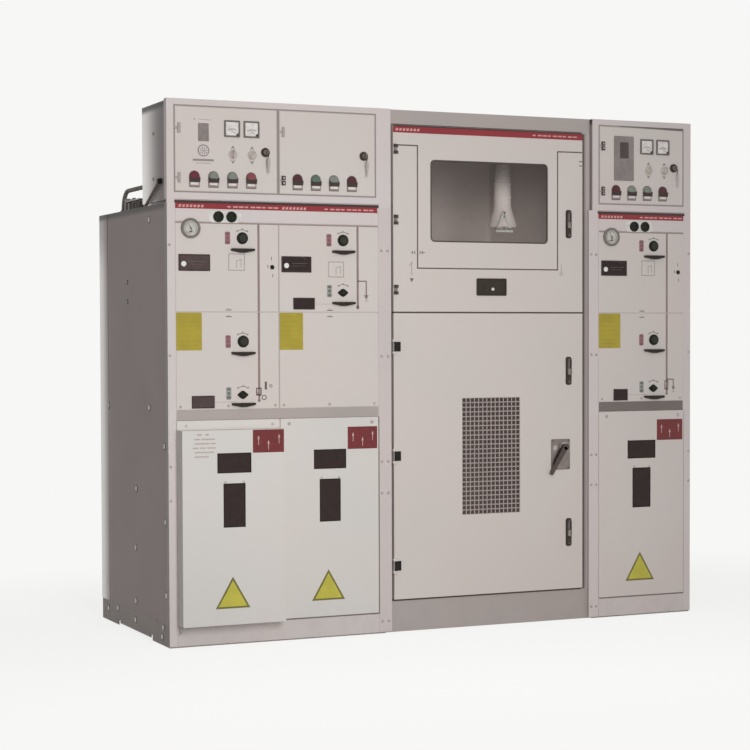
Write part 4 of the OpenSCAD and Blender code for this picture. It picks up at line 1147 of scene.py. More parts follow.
def lampRow(s, tones, box):
    z, r = boxSizes["lampZ"], boxSizes["lampR"]
    tag = z - r
    for k, tone in enumerate(boxSizes["lampTones"][box]):
        x = boxSizes["lamps"][box] + k * boxSizes["lampPitch"]
        # legend holder: an arched hood that runs down into a frame round the tag
        foot = [(-16.4, -1), (-16, -17), (16, -17), (16.4, -1)]
        s.ink = 0
        slab(s, arcPoints(x, z, r + 0.6, -8, 188, 24) + [(x + a, tag + b) for a, b in foot], -2.4, 0, 0.6)
        s.ink = tones.index(tone) + 4
        turned(s, x, z, [(15.6, -2.2), (15.4, -4.4), (13.8, -6.6), (11, -8.2), (6.4, -8.9), (0, -9)])
        s.ink = 1
        # a dark piece over the lower part of the lens, as painted shadow
        paintedShade = [(-11, -6.5), (11, -6.5), (16, -3), (15, -17.5), (-15, -17.5), (-16, -3)]
        slab(s, [(x + a, z + b) for a, b in paintedShade], -9.2, -2.3, 0.5)
        s.ink = 3
        outer = roundedBox(x - 15.8, tag - 15.4, x + 15.8, tag - 0.6, 2.5)
        frameRing(s, outer, roundedBox(x - 12.6, tag - 9.8, x + 12.6, tag - 2.6, 1.2), -3.6, -2.2)
        plates(s, 2, -2.9, -2.3, (x - 12.8, tag - 10, x + 12.8, tag - 2.4), r=1.2, edge=0.2)


lampFinishes = [bezelGrey, wornBlack, tagWhite, tagFrame, *lensFinish.values()]
for name, boxes, node in (("lampsLeft", "ab", "left_lamps"), ("lampsRight", "c", "right_lamps")):
    s = Shape()
    for b in boxes:
        lampRow(s, list(lensFinish), b)
    finishPiece(name, s, lampFinishes, (node,))


def selectorSet(name, box, node):
    s, z = Shape(), boxSizes["selectorZ"]
    for x, turn in zip(boxSizes["selectors"][box], (90, 58)):
        s.ink = 0
        turned(s, x, z, [(14, 0), (14, -2.4), (13, -3.6), (10.4, -4)])
        ux, uz = away(turn)
        grip = [(-11.5, -3.4), (11.5, -2.4), (12.4, 0), (11.5, 2.4), (-11.5, 3.4)]
        slab(s, [(x + a * ux - b * uz, z + a * uz + b * ux) for a, b in grip], -14, -3.8, 1.0)
        turned(s, x, z, [(9.2, -3.8), (8.4, -7.4), (7.6, -8)], 28)
        strokes(s, 1, 1.0, [(x + 7 * ux, z + 7 * uz), (x + 11 * ux, z + 11 * uz)], front=-14, back=-13.9)
        # position marks over and under the switch
        for sign in (1, -1):
            disc(s, x, z + 22 * sign, 4.2, -0.3, 0, 12)
            for dx in (-5.5, 5.5):
                disc(s, x + dx, z + 17.5 * sign, 1.8, -0.3, 0, 10)
    finishPiece(name, s, [creamPlastic, ventGrey], (node,))


selectorSet("selectorsLeft", "a", "left_selectors")
selectorSet("selectorsRight", "c", "right_selectors")


def lockSet(name, boxes, node):
    s, z = Shape(), boxSizes["lockZ"]
    for x in [boxSizes["locks"][b] for b in boxes]:
        s.ink = 0
        turned(s, x, z, [(14, 0), (14, -3), (12.6, -4.4), (10.4, -4.8), (9.6, -8)])
        # the ring that holds the second key
        turns = [2 * math.pi * k / 14 for k in range(15)]
        ring = [(2.2 * math.cos(t), 1.6 * math.sin(t), 9.5 * math.sin(t + 1.6)) for t in turns]
        tube(s, [(x + 3.2 + a, b - 19, z - 14 + c) for a, b, c in ring], 0.7, 6)
        s.ink = 1
        turned(s, x, z, [(7.4, -7.9), (6.8, -8.8), (0, -9.2)], 24)
        # key in the lock, and the second key hanging from it
        block(s, (x - 1.0, -18, z - 4.6), (x + 1.0, -8.8, z + 4.6), 0.3)
        s.stack([[(x + dx, -19.6 + u * 0.62, z + v * 0.92) for u, v in wheel(8.4, 16)] for dx in (-1.1, 1.1)])
        s.ink = 2
        block(s, (x + 0.4, -20.4, z - 44), (x + 8.8, -18.6, z - 20))
        block(s, (x + 2.2, -20.2, z - 64), (x + 6.6, -18.8, z - 44), 0.3)
        for tooth in (z - 60, z - 55, z - 50):
            block(s, (x + 5.8, -20.1, tooth), (x + 7.0, -18.9, tooth + 2.6), 0.2)
    finishPiece(name, s, [wornBlack, boltZinc, screwPale], (node,))


lockSet("locksLeft", "ab", "left_locks")
lockSet("lockRight", "c", "right_lock")

# small knuckle hinges; some doors show two knuckles, each with a pale pin
s = Shape()
for b, x in boxSizes["hinges"].items():
    for z in boxSizes["hingeZ"]:
        if b == "c" or (b == "b" and z < 1450):
            for level in (z - 7.6, z + 7.6):
                s.ink = 0
                block(s, (x - 6, -5.8, level - 6.4), (x + 6.4, -0.2, level + 6.4), 0.8)
                s.ink = 2
                block(s, (x - 2, -6.1, level - 2.6), (x + 3, -5.7, level + 2.6), 0.1)
        else:
            s.ink = 1
            block(s, (x - 1, -2.6, z - 15), (x + 5.6, -0.2, z + 15), 0.6)
            block(s, (x - 12, -1.7, z - 3.2), (x, -0.2, z + 3.2), 0.4)
finishPiece("boxHinges", s, [wornBlack, hingeSoft, jointPaint])

ventSizes = {
    "box": (99, 1513.5, 132.5, 1567.5), "sounder": (115, 1486), "holes": ((0, 1), (5.2, 6), (10.4, 10)),
    "lines": ((86, 1579, 90, 1579, 4), (100, 1579, 140, 1577.5, 1.2), (92, 1448.5, 138, 1448.5, 1.8)),
    "slats": {"Columns": 11, "Rows": 16, "Pitch": 0.0028, "Bar": 0.0011, "Depth": 0.0009},
}
vent, (x, z) = ventSizes["box"], ventSizes["sounder"]
s = Shape()
boxFrame(s, vent, 2.4, -1.8, 0, 0.5, 2, 1)
plate(s, grown(vent, -2), -0.5, 0)
# round sounder under the vent, with its holes, and plain strips over and below
s.ink = 2
turned(s, x, z, [(20, 0), (20, -1.4), (18.6, -2.4), (15.5, -2.8), (0, -3)], 40)
strokes(s, 3, 2.4, arcPoints(x, z, 16.4, 0, 359, 32), front=-3.2, back=-2.4)
for r, count in ventSizes["holes"]:
    for px, pz in circle(x, z, r, count):
        disc(s, px, pz, 1.7, -3.15, -2.8, 10)
plates(s, 1, -0.3, 0, (82, 1454.5, 148, 1461))
for x0, z0, x1, z1, wide in ventSizes["lines"]:
    stroke(s, [(x0, z0), (x1, z1)], wide)
finishPiece("ventPlate", s, [ventGrey, gapSoft, edgePaint, bezelGrey])
slats = pointCloud("ventSlats", [((vent[0] + vent[2]) / 2, -1.0, (vent[1] + vent[3]) / 2)])
settle(runTree(slats, lattice, {**ventSizes["slats"], "Finish": ventGrey}), fixed)

controlSizes = {"x": 1536.5, "z": 1440.5, "w": 73, "h": 145, "buttons": 3, "buttonPitch": (16, 15)}
s = Shape()
x, z, w, h = (controlSizes[key] for key in "xzwh")
plate(s, (x, z, x + w, z + h), -6, 0, 3, 1.2)
plate(s, (x + 6, z + 8, x + w - 6, z + h - 7), -6.3, -5.9, 2, 0.1)
for k in range(controlSizes["buttons"] ** 2):
    row, column = divmod(k, controlSizes["buttons"])
    px, pz = x + 14 + column * controlSizes["buttonPitch"][0], z + 18 + row * controlSizes["buttonPitch"][1]
    plate(s, (px, pz, px + 11, pz + 8), -7.2, -6.2, 1.4, 0.5)
plates(s, 1, -7, -6.1, (x + 19, z + 72.5, x + 52, z + 125), r=1.5, edge=0.5)
for k, wide in enumerate((15, 23, 15, 23)):
    level = z + 82 + k * 10
    stroke(s, [(x + 23, level), (x + 23 + wide, level)], 0.5, -7.05, -7)
finishPiece("controlUnit", s, [caseGrey, screenGrey], ("controller",))

# painted soft shadow in the gaps round and between the instrument doors, and the folded bead along each
# door's edge
gapSizes = {"doors": ((26.5, 350.5), (358.5, 675.5), (1482, 1802)), "z": (1364, 1616), "bead": 3}
s = Shape()
z0, z1 = gapSizes["z"]
for x0, x1 in gapSizes["doors"]:
    door = (x0 + 0.3, z0 + 0.3, x1 - 0.3, z1 - 0.3)
    s.ink = 0
    frameRing(s, roundedBox(x0 - 4.2, z0 - 4, x1 + 4.2, z1 + 4), roundedBox(*door), -0.25, 1.2, 0.1)
    s.ink = 1
    boxFrame(s, door, gapSizes["bead"], -1.1, 0.2, 1.0)
plates(s, 0, -0.3, 1.2, (350.6, z0 - 4, 358.4, z1 + 4))
# a dark wedge of painted shadow along the right door's top, where the door hangs a little proud
s.ink = 2
slab(s, [(1560, 1616.2), (1802, 1611.4), (1802, 1619), (1560, 1619)], -1.3, 0.3)
finishPiece("doorGaps", s, [gapSoft, frontPaint, bezelGrey])
print("instrument boxes made")

coverSizes = {"windows": ((111, 523, 219, 583), (130, 360, 200, 492)), "faces": {"a": -50, "b": -3, "c": -3}}


def coverWindows(name, unitNames, node):
    s = Shape()
    for unit in unitNames:
        y = coverSizes["faces"][unit]
        for box in coverSizes["windows"]:
            box = shifted(box, units[unit])
            plates(s, 0, y + 1.1, y + 3.4, grown(box, -0.2), r=1)
            s.ink = 1
            boxFrame(s, grown(box, -0.1), 2.5, y + 0.2, y + 3, 0.5)
    finishPiece(name, s, [darkPane, blackRubber], (node,))


coverWindows("coverPanesLeft", "ab", "panes_left")
coverWindows("coverPaneRight", "c", "pane_right")

plateSizes = {
    "red": (224, 582, 324, 651), "arrows": ((18, 23), (50, 8), (84, 26)), "thick": 0.8,
    "triangle": ((103, 117), (213, 117), (158, 212)), "rim": 5.6,
    # faint note of plain rules on the first cover: left and right ends, row by row
    "note": (((38, 58), (62, 104)), ((40, 86), (90, 106)), ((34, 52), (57, 74), (79, 106)),
             ((40, 100),), ((40, 84),)),
    "heading": ((48, 62), (74, 84)), "noteTop": 624, "notePitch": 13,
}
s = Shape()
for unit in units:
    ux, y, t = units[unit], coverSizes["faces"][unit], plateSizes["thick"]
    red = shifted(plateSizes["red"], ux)
    plates(s, 0, y - t + 0.15, y, red, r=1, edge=0.2)
    s.ink = 1
    for x, z in [(red[0] + a, red[1] + b) for a, b in plateSizes["arrows"]]:
        for arrow in ([(-0.8, 0), (0.8, 0), (1.1, 20), (-1.1, 20)], [(-4, 17), (0, 20), (4, 17), (0, 29)]):
            slab(s, [(x + a, z + b) for a, b in arrow], y - t, y - t + 0.2)
    triangle = [(ux + x, z) for x, z in plateSizes["triangle"]]
    s.ink = 3
    slab(s, triangle, y - t + 0.25, y, 0.2)
    s.ink = 2
    slab(s, inset(triangle, plateSizes["rim"]), y - t + 0.05, y - t + 0.3, 0.05)
ux, y = units["a"], coverSizes["faces"]["a"]
plates(s, 4, y - 0.15, y + 0.1, *[(ux + a, 637, ux + b, 642) for a, b in plateSizes["heading"]])
for k, row in enumerate(plateSizes["note"]):
    z = plateSizes["noteTop"] - k * plateSizes["notePitch"]
    plates(s, 4, y - 0.15, y + 0.1, *[(ux + a, z, ux + b, z + 4) for a, b in row])
finishes = [plateRed, pinkInk, triangleYellow, rimOlive, noteInk]
finishPiece("coverPlates", s, finishes, ("plates",))

doorSizes = {
    "hingeX": 743, "hinges": (1514, 1294, 1076), "lockPlate": (1028.5, 1059, 1135.5, 1114),
    "latchX": 1365, "upperLatch": 1293, "lowerLatches": (816, 289),
}


def latchShape(s, z):
    # spring latch: a long case with an open hook at the top, a bright slide and two rivets
    x = doorSizes["latchX"]
    s.ink = 0
    plate(s, (x - 11, z - 46, x + 11, z + 46), -2.2, 0, 8, 0.8, 6)
    hook = roundedBox(x - 9, z - 16, x + 9, z + 42, 8, 6), roundedBox(x - 4, z - 11, x + 5, z + 35, 4, 6)
    frameRing(s, *hook, -6.4, -2, 0.8)
    plate(s, (x - 8, z - 42, x + 8, z - 18), -7, -2, 6, 1.0, 6)
    plates(s, 1, -7.6, -2, (x - 5.5, z - 13, x + 5.5, z + 8), r=2, edge=1.0)
    for level in (z - 10, z - 5, z, z + 5):
        stroke(s, [(x - 4.5, level), (x + 4.5, level)], 1.8, -8, -7.4)
    plates(s, 2, -2.8, -2, (x - 3.5, z + 10, x + 4.5, z + 34), r=2, edge=0.3)
    for level in (z - 36, z + 37):
        turned(s, x, level, [(3.2, -6), (2.6, -7.4), (0, -8)], 16)


def fixedHinge(s, z):
    # two knuckled leaves with a bright pin between them
    x = doorSizes["hingeX"]

    def barrel(r, count, low, high):
        s.stack([[(x + a, -4.5 + b, level) for a, b in wheel(r, count)] for level in (z + low, z + high)])

    s.ink = 0
    for a, b in ((-15, -5.5), (5.5, 15)):
        barrel(4.4, 20, a, b)
        plate(s, (x + 2, z + a, x + 12, z + b), -3, 0, 1.5, 0.5)
    s.ink = 1
    barrel(3.2, 16, -6, 6)
    plate(s, (x + 2, z - 5, x + 9, z + 5), -2, 0, 1, 0.5)
    s.ink = 2
    for level in (z - 10, z + 10):
        turned(s, x + 9, level, [(2.2, -2.9), (1.6, -3.6), (0, -3.8)], 12)


s = Shape()
latchShape(s, doorSizes["upperLatch"])
for z in doorSizes["hinges"]:
    fixedHinge(s, z)
box = x0, z0, x1, z1 = doorSizes["lockPlate"]
s.ink = 3
boxFrame(s, box, 5, -5, 0, 1.2, 4, 2)
plate(s, grown(box, -4.6), -1.6, -0.1)
turned(s, x0 + 32, z0 + 31, [(9, -1.5), (8, -3.6), (0, -3.8)], 24)
s.ink = 4
turned(s, x0 + 58, z0 + 21, [(5.2, -1.5), (5.2, -3.2), (4.2, -4.4), (0, -4.8)], 20)
finishes = [wornBlack, boltZinc, bezelGrey, lockBrown, ivoryPlastic]
finishPiece("upperFittings", s, finishes, ("upper_fittings",))

s = Shape()
for z in doorSizes["lowerLatches"]:
    latchShape(s, z)
finishPiece("lowerLatches", s, [wornBlack, boltZinc, bezelGrey], ("lower_latches",), leaf)

windowSizes = {"box": (866.5, 1227, 1288.5, 1485), "r": 15, "gasket": 4.5, "lap": 14}
box, r, gasket = windowSizes["box"], windowSizes["r"], windowSizes["gasket"]
s = Shape()
outer, inner = roundedBox(*grown(box, -0.1), r, 8), roundedBox(*grown(box, -gasket), r - gasket, 8)
frameRing(s, outer, inner, -0.9, 3.2, 1.0)
finishPiece("windowGasket", s, [gasketGrey])
s = Shape()
plate(s, grown(box, windowSizes["lap"]), 2.2, 5.8, 6, 0.5)
finishPiece("windowPane", s, [clearGlass], ("window",))

bushingSizes = {"x": 1186, "y": 120, "foot": 1283, "top": 1636, "sheds": 5, "shedPitch": 44,
                "clampX": 1167, "clampY": 70}
x, y, foot, top = (bushingSizes[key] for key in ("x", "y", "foot", "top"))
bell = ((42, 0), (46, 3), (46.4, 9), (41, 28), (33, 52), (28.6, 70))
profile = [(r, foot + z) for r, z in bell]
for k in range(bushingSizes["sheds"]):
    z = foot + 92 + bushingSizes["shedPitch"] * k
    profile += [(28, z), (28, z + 4), (29.4, z + 6), (29.4, z + 10), (27.6, z + 12)]
s = Shape()
upright(s, x, y, profile + [(31, top - 14), (56, top - 8), (56, top - 0.5)])
s.ink = 1
upright(s, x, y, [(20, foot - 8), (24, foot - 5), (24, foot + 1)], 32)
# A-shaped clamp in front of the foot
x, y = bushingSizes["clampX"], bushingSizes["clampY"]
for side in (-26, 26):
    leg = [(side - 4, -14), (side + 4, -14), (5, 50), (-5, 50)]
    slab(s, [(x + a, foot + b) for a, b in leg], y, y + 4, 0.6)
plate(s, (x - 31, foot - 17, x + 31, foot - 9), y - 1, y + 26, 1, 0.6)
s.ink = 2
for dx, dz in ((-22, -6), (0, -2), (22, -6), (0, 36)):
    turned(s, x + dx, foot + dz, [(4.4, y + 1), (4.4, y - 2), (3, y - 3.4), (0, y - 3.6)], 6)
finishPiece("bushing", s, [resin, tagWhite, greySteel], ("insulator",))

# printed line with its symbols on the upper door
s = Shape()
strokes(s, 0, 4.0, [(755, 1527), (822, 1527), (821.5, 1144), (1324, 1144), (1324.5, 1526), (1416, 1527)])
strokes(s, 0, 1.6, *[[(x, 1187), (x, 1199)] for x in (803, 812, 830, 839)], [(800, 1193), (812, 1193)],
        [(830, 1193), (848, 1193)])
strokes(s, 1, 1.2, [(801, 1120), (801, 1166)], [(801, 1160), (793, 1152)], [(1338, 1136), (1338, 1163)],
        arcPoints(1338, 1130, 5, 0, 350, 14))
slab(s, [(808, 1112), (801, 1099), (794, 1112)], -0.3, 0)
strokes(s, 2, 3.0, [(1404, 1483), (1416, 1483)], [(1404, 1497), (1416, 1497)])
finishPiece("meteringPrint", s, [lineInk, bezelGrey, darkInk])

grilleSizes = {"x": 977, "z": 361, "columns": 14, "rows": 25, "pitch": 14.9, "bar": 3.3, "rim": 9}
columns, rows, pitch = (grilleSizes[key] for key in ("columns", "rows", "pitch"))
x, z, wide, tall = grilleSizes["x"], grilleSizes["z"], columns * pitch, rows * pitch
grille = pointCloud("grilleBars", [(x + wide / 2, 2.2, z + tall / 2)])
bars = {"Pitch": pitch * 0.001, "Bar": grilleSizes["bar"] * 0.001, "Depth": 0.0016, "Finish": latticePaint}
runTree(grille, lattice, {"Columns": columns, "Rows": rows, **bars})
settle(grille, leaf, ("grille",))
s, box, rim = Shape(), (x, z, x + wide, z + tall), grilleSizes["rim"]
boxFrame(s, grown(box, rim), rim + 0.2, 2.05, 3.6, 0.3)
finishPiece("grilleFrame", s, [frontPaint], body=leaf)

handleSizes = {"x": 1347.5, "z": 568.5, "plate": (1299.5, 494.5, 1369.5, 594.5), "angle": 32}
box = x0, z0, x1, z1 = handleSizes["plate"]
s = Shape()
plate(s, box, -2.4, 0, 4, 0.8)
plate(s, grown(box, -4), -3.4, -2.2, 3, 0.8)
s.ink = 1
turned(s, x0 + 14.5, z0 + 71, [(9, -3.2), (7.6, -3.8), (5, -4)], 28)
collar = [(7.5, -3.2), (15, -3.2), (15, -3.7), (14, -4), (7.5, -4)]
turned(s, handleSizes["x"], handleSizes["z"], collar, 28, False)
s.ink = 2
for x, z in ((x0 + 6, z0 + 6), (x1 - 6, z0 + 6), (x0 + 6, z1 - 6), (x1 - 6, z1 - 6)):
    turned(s, x, z, [(2.6, -3.3), (2, -3.9), (0, -4)], 12)
plate(s, (x0 + 10, z0 + 14, x0 + 22, z0 + 34), -3.8, -3.2, 2, 0.3)
finishPiece("handlePlate", s, [brushedPlate, steel, darkSteel], ("handle_plate",), leaf)

# lever, made upright about its spindle and then turned to its rest position
s = Shape()
disc(s, 0, 0, 6.9, -9.2, 9.8, 32)
turned(s, 0, 0, [(11, -9), (11, -16.4), (9.4, -18)])
side = [(8.5, 2), (8.2, -30), (6.4, -68), (6.6, -96), (4.2, -104)]
slab(s, [(-x, z) for x, z in side] + side[::-1], -18, -9.2, 2.2)
tilt = Matrix.Rotation(math.radians(handleSizes["angle"]), 3, "Y")
bmesh.ops.rotate(s.bm, verts=s.bm.verts, cent=(0, 0, 0), matrix=tilt)
bmesh.ops.translate(s.bm, verts=s.bm.verts, vec=(handleSizes["x"], 0, handleSizes["z"]))
finishPiece("doorHandle", s, [leverBrown], ("lever",), handleBody, 40)
dress(edgePaint, "hinge_pins")
print("metering cabinet made")

# screws: the x and z of each row, and the places of the side bolts as (y, z)
stations = {
    "strip": ((696.8, 718.2, 1450.6, 1469), (1196, 868, 539.7, 441, 39)),
    "post": ((7, lineUp["width"] - 7), (1204, 875, 543.6, 442)),
    "header": ((14, 165, 316), 722), "flange": ((30, 306), 664.6), "window": ((136, 194), 496),
    "side": ((180, 1288), (630, 709), (192, 714.5), (43, 603), (38, 375), (33.5, 155), (332, 457),
             (342, 270), (345, 102), (350, 41), (543, 54), (649, 40), (68, 54.6), (76.5, 25.5)),
    "box": ((170, 1548), (173, 1411)),
}


def grid(row):
    return [(x, 0, z) for x in row[0] for z in row[1]]


def onUnits(row, faces):
    # the same places on every unit, at the depth of its face
    return [(units[unit] + x, y, row[1]) for unit, y in faces.items() for x in row[0]]


faces = coverSizes["faces"]
screwRows = {
    "stripScrews": (grid(stations["strip"]), 4.6, 2.2),
    "postScrews": (grid(stations["post"]), 4.2, 2.2),
    "headerScrews": (onUnits(stations["header"], dict.fromkeys(units, 0)), 4.2, 2.0),
    "flangeScrews": (onUnits(stations["flange"], {**faces, "a": 0}), 5.4, 2.4),
    "coverWindowScrews": (onUnits(stations["window"], faces), 3.6, 0.75),
}
for seed, (name, (places, r, h)) in enumerate(screwRows.items(), 3):
    fixings(name, places, r, h, finish=screwPale, seed=seed)
ends = (("", 2, 1, "left"), ("Right", lineUp["width"] - 2, -1, "right"))
for side, face, inward, way in ends:
    name, places = "sideBolts" + side, stations["side"]
    heads = [(face - inward * 0.5, y, z) for y, z in places]
    fixings(name, heads, 7.4, 1.45, "pan", way, boltBright, 8)
    # dark washers under the bolt heads, partly real washers and partly painted shadow round each head
    feet = [(face, y, z) for y, z in places]
    fixings(name + "Washers", feet, 10.6, 0.8, "hex", way, darkSteel, 9)
for seed, (side, face, inward, way) in enumerate(ends, 10):
    places = [(face + inward * 12, y, z) for y, z in stations["box"]]
    fixings("boxSideScrews" + side, places, 5.4, 2.6, "pan", way, seed=seed)

# bolts round the recessed rear panels
rearSizes = {
    "panels": ((2, 709, 67, 1331), (711, 1453, 79, 1638), (1455, 1832, 67, 1331)),
    "margin": 36, "pitch": (220, 260), "y": 717, "ribHalf": 9, "ribEnd": 62,
}
spots, y = [], rearSizes["y"]
for panel in rearSizes["panels"]:
    x0, x1, z0, z1 = (edge + rearSizes["margin"] * way for edge, way in zip(panel, (1, -1, 1, -1)))
    gaps = zip((panel[1] - panel[0], panel[3] - panel[2]), rearSizes["pitch"])
    across, up = (max(2, round(size / pitch)) for size, pitch in gaps)
    spots += [(x0 + (x1 - x0) * k / across, y, z) for k in range(across + 1) for z in (z0, z1)]
    spots += [(x, y, z0 + (z1 - z0) * k / up) for k in range(1, up) for x in (x0, x1)]
fixings("rearBolts", spots, 5.4, 3.4, "hex", "back", boltZinc, 12)

# rolled joint down the middle of each rear panel, and one across the rear of the instrument boxes
s = Shape()
half, end = rearSizes["ribHalf"], rearSizes["ribEnd"]
for ink, (x0, x1, z0, z1) in zip((0, 1, 0), rearSizes["panels"]):
    s.ink = ink
    middle = (x0 + x1) / 2
    block(s, (middle - half, 716.5, z0 + end), (middle + half, 719.4, z1 - end), 0.9)
s.ink = 2
for x0, x1 in ((26, 697), (1467, 1808)):
    block(s, (x0, 284.5, 1350), (x1, 285.4, 1362), 0.3)
finishPiece("rearRibs", s, [caseShadedPaint, meterShadedPaint, boxShadedPaint])

# dark brackets with plated middles, partly a painted highlight on each, and a small tab on the sides: depth,
# height and half sizes of each
bracketSizes = (
    ((417, 1105, 9, 7), (418, 1043, 9, 7)), ((417, 1105, 4, 3), (418, 1043, 4, 3), (12, 980, 3, 6)),
)
for side, face, inward, way in ends:
    s = Shape()
    for ink, start, out, edge in ((0, -0.5, 1.9, 0.6), (1, 0, 1.95, 0.2)):
        s.ink = ink
        low, high = sorted((face - inward * start, face - inward * out))
        for y, z, w, h in bracketSizes[ink]:
            block(s, (low, y - w, z - h), (high, y + w, z + h), edge)
    finishPiece("sideBrackets" + side, s, [darkSteel, boltZinc])

# roof fittings behind the left instrument box: a rail with plugged glands and an upright bracket
railBars = (
    ((20, 352, 1331), (44, 512, 1334), 0.5), ((22, 498, 1333.5), (42, 503, 1374), 0.8),
    ((22, 462, 1333.5), (42, 466, 1358), 0.8), ((40, 356, 1333.5), (44, 500, 1366), 0.8),
    ((24, 356, 1362), (44, 500, 1366), 0.8),
)
glandX, glandFoot = 32, 1333.5
s = Shape()
for low, high, edge in railBars:
    block(s, low, high, edge)
s.ink = 1
for y, r, top in ((372, 10, 1358), (402, 8, 1352), (432, 9, 1356)):
    nut = [(r, glandFoot), (r, 1341), (r * 0.86, 1342), (r * 0.86, top - 3), (r * 0.6, top)]
    upright(s, glandX, y, nut, 6 if r > 8 else 18)
s.ink = 2
loop = ((402, 1351), (408, 1363), (424, 1370), (446, 1370), (464, 1362))
tube(s, [(glandX, y, z) for y, z in loop], 2.6, 10)
finishPiece("roofFittings", s, [greySteel, bezelGrey, hoseGrey])
print("screws and sides made")

hoseSizes = {
    "rear": {"x": 30, "y": 285, "z": 1398, "run": 200, "bend": 56, "r": 7, "gland": 12},
    "side": {"from": (7, 92, 1399), "to": (7, 246, 1325), "wall": 14, "r": 5, "gland": 9},
    "roof": lineUp["roof"], "depth": 0.0009, "pitch": 0.0042,
}


def hoseAlong(name, path, r, finish, replaces=()):
    # a curve through the path, made into a corrugated skin by the hose tree
    curve = bpy.data.curves.new(name + "Line", "CURVE")
    curve.dimensions = "3D"
    spline = curve.splines.new("POLY")
    spline.points.add(len(path) - 1)
    for point, p in zip(spline.points, path):
        point.co = (*(toFrame @ Vector(p)), 1)
    skin = {"Radius": r * 0.001, "Depth": hoseSizes["depth"], "Pitch": hoseSizes["pitch"], "Finish": finish}
    piece = runTree(linked(name, curve), hoseMaker, skin)
    piece.name = name
    return settle(piece, fixed, replaces, 60)


def glandShape(s, place, axis, r, length):
    # hexagonal nut and a round collar about the axis
    p, d = Vector(place), Vector(axis)
    u = d.orthogonal().normalized()
    v = d.cross(u)
    for count, radius, start, end in ((6, r, 0, length * 0.55), (24, r * 0.8, length * 0.5, length)):
        levels = ((start, 1.0), (end - 0.8, 1.0), (end, 0.93))
        s.stack([[p + d * t + u * a + v * b for a, b in wheel(radius * q, count)] for t, q in levels])


# rear hose: straight out of the box, then over a quarter bend down into the roof
h = hoseSizes["rear"]
x, endY, roof = h["x"], h["y"] + h["run"], hoseSizes["roof"]
rearPath = [(x, h["y"] + h["run"] * k / 8, h["z"]) for k in range(9)]
for t in [math.pi / 2 * k / 16 for k in range(1, 17)]:
    rearPath.append((x, endY + h["bend"] * math.sin(t), h["z"] - h["bend"] * (1 - math.cos(t))))
rearPath.append((x, endY + h["bend"], roof))
rearHose = hoseAlong("rearHose", rearPath, h["r"], hoseGrey, ("left_conduit",))
s = Shape()
glandShape(s, rearPath[0], (0, 1, 0), h["gland"], 14)
glandShape(s, rearPath[-1], (0, 0, 1), h["gland"], 8)
rearGlands = finishPiece("rearGlands", s, [darkBezel], angle=40)

# side hose: straight from a gland in the side of the box to the roof
h = hoseSizes["side"]
start, end = Vector(h["from"]), Vector(h["to"])
stop = start + (end - start) * ((start.z - roof) / (start.z - end.z))
sidePath = [tuple(start + (stop - start) * k / 10) for k in range(11)]
sideHose = hoseAlong("sideHose", sidePath, h["r"], hoseBrown)
s = Shape()
glandShape(s, (h["wall"], start.y, start.z), (-1, 0, 0), h["gland"], 14)
sideGland = finishPiece("sideGland", s, [blackPlastic], angle=40)
print("hoses made")

viewSettings = {"place": (-2.6885, -5.8069, 0.9268), "yaw": 24.2276, "pitch": -1.892, "roll": -0.1937,
                "lens": 92.398, "shift": (-0.00678, 0.03474)}
scene = bpy.context.scene
camera = linked("camera", bpy.data.cameras.new("camera"))
camera.data.sensor_width = 36
camera.data.sensor_fit = "HORIZONTAL"
camera.data.lens = viewSettings["lens"]
camera.data.shift_x, camera.data.shift_y = viewSettings["shift"]
camera.data.clip_end = 200
camera.data.dof.use_dof = False
camera.matrix_world = Matrix.Translation(viewSettings["place"])
turns = (("Z", -viewSettings["yaw"]), ("X", 90 + viewSettings["pitch"]), ("Z", viewSettings["roll"]))
for letter, angle in turns:
    camera.matrix_world = camera.matrix_world @ Matrix.Rotation(math.radians(angle), 4, letter)
scene.camera = camera

lightSettings = {
    "lamps": {
        "key": {"place": (-0.85, -3.3, 1.1), "aim": (0.0, -0.3, 0.8), "size": (1.1, 2.0), "watts": 62},
        "rearFill": {"place": (-1.5, 3.4, 1.5), "aim": (-0.95, 0.2, 0.9), "size": (0.8, 1.6), "watts": 14},
    },
    "ambient": 0.3, "backdrop": rgb(247, 247, 246),
}
for name, t in lightSettings["lamps"].items():
    lamp = bpy.data.lights.new(name, "AREA")
    lamp.shape, lamp.energy = "RECTANGLE", t["watts"]
    lamp.size, lamp.size_y = t["size"]
    holder = linked(name, lamp)
    holder.location = t["place"]
    holder.rotation_euler = (Vector(t["aim"]) - Vector(t["place"])).to_track_quat("-Z", "Y").to_euler()
    holder.visible_camera = False
    holder.visible_glossy = False


def seenRay(g):
    # 1 where the camera sees the surface directly, in a reflection or through glass
    seen = g.add("ShaderNodeLightPath", None, None, "Is Camera Ray")
    sockets = g.last.outputs
    for kind in ("Is Glossy Ray", "Is Transmission Ray"):
        seen = g.calculate("MAXIMUM", seen, Value(g, sockets[kind]))
    return seen


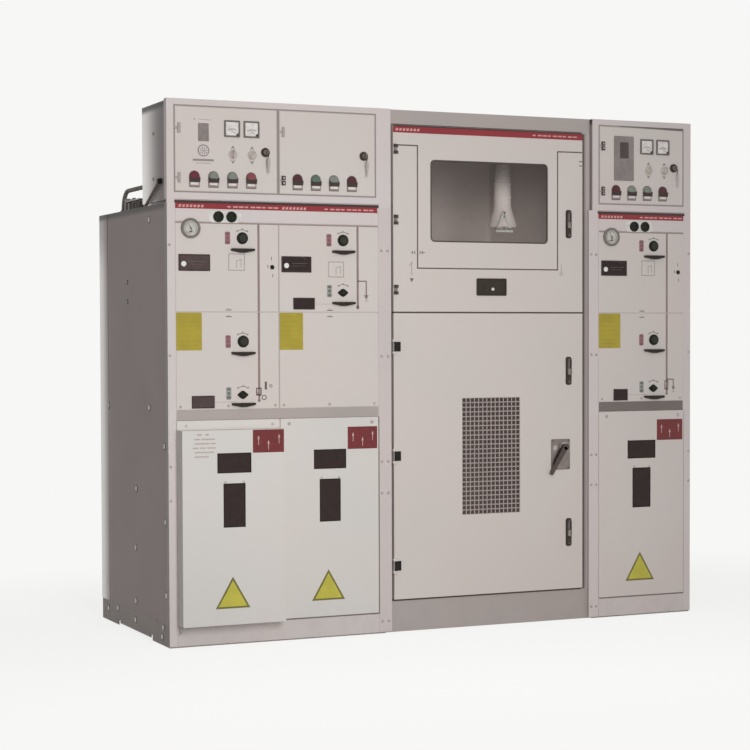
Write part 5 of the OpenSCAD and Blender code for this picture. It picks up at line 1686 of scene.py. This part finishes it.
# seen directly or in a reflection the surroundings are white; as light they are a soft grey
world = bpy.data.worlds.new("surroundings")
world.use_nodes = True
world.node_tree.nodes.clear()
scene.world = world
g = Graph(world.node_tree)
backdrop = lightSettings["backdrop"]
ambient = {"Color": (1, 0.995, 0.985, 1), "Strength": lightSettings["ambient"]}
soft = g.add("ShaderNodeBackground", None, ambient)
white = g.add("ShaderNodeBackground", None, {"Color": backdrop, "Strength": 1.0})
surroundings = g.add("ShaderNodeMixShader", None, {0: seenRay(g), 1: soft, 2: white})
g.add("ShaderNodeOutputWorld", None, {"Surface": surroundings})

floorSettings = {"size": 60.0, "diffuse": 0.16, "bounce": 0.42, "lift": 0.86, "near": 0.75, "far": 1.9,
                 "under": {"X": (0.89, 0.86), "Y": (0.325, 0.295)}}
g, where = newFinish("pale floor")
stretched = g.add("ShaderNodeVectorMath", {"operation": "MULTIPLY"}, {0: where, 1: (0.62, 1.0, 1.0)})
distance = g.add("ShaderNodeVectorMath", {"operation": "LENGTH"}, {0: stretched}, "Value")
k = floorSettings["diffuse"]
base = g.mix(g.noise(where, 3.0, 3.0), (k * 0.985, k * 0.985, k * 0.98, 1), (k, k, k * 0.995, 1))
matte = g.add("ShaderNodeBsdfDiffuse", None, {"Color": base, "Roughness": 0.5})
glow = g.add("ShaderNodeEmission", None, {"Color": backdrop, "Strength": floorSettings["lift"]})
lit = g.add("ShaderNodeAddShader", None, {0: matte, 1: glow})
# the floor under the cabinets gets no lift, so that it is dim where an open door shows it
under = 1
for letter, (outer, inner) in floorSettings["under"].items():
    reach = g.calculate("ABSOLUTE", g.axis(where, letter))
    under = g.step(reach, outer, inner) * under
grey = (floorSettings["bounce"],) * 3 + (1,)
bounced = g.add("ShaderNodeBsdfDiffuse", None, {"Color": grey, "Roughness": 0.5})
lit = g.add("ShaderNodeMixShader", None, {0: under, 1: lit, 2: bounced})
blank = g.add("ShaderNodeEmission", None, {"Color": backdrop, "Strength": 1.0})
edge = g.step(distance, floorSettings["near"], floorSettings["far"])
shown = g.add("ShaderNodeMixShader", None, {0: edge, 1: lit, 2: blank})
result = g.add("ShaderNodeMixShader", None, {0: seenRay(g), 1: bounced, 2: shown})
g.add("ShaderNodeOutputMaterial", None, {"Surface": result})
half = floorSettings["size"] / 2
mesh = bpy.data.meshes.new("floor")
mesh.from_pydata([(-half, -half, 0), (half, -half, 0), (half, half, 0), (-half, half, 0)], [], [(0, 1, 2, 3)])
mesh.materials.append(g.material)
linked("floor", mesh)
scene.view_settings.view_transform = "Standard"

print("camera, lights and floor set")
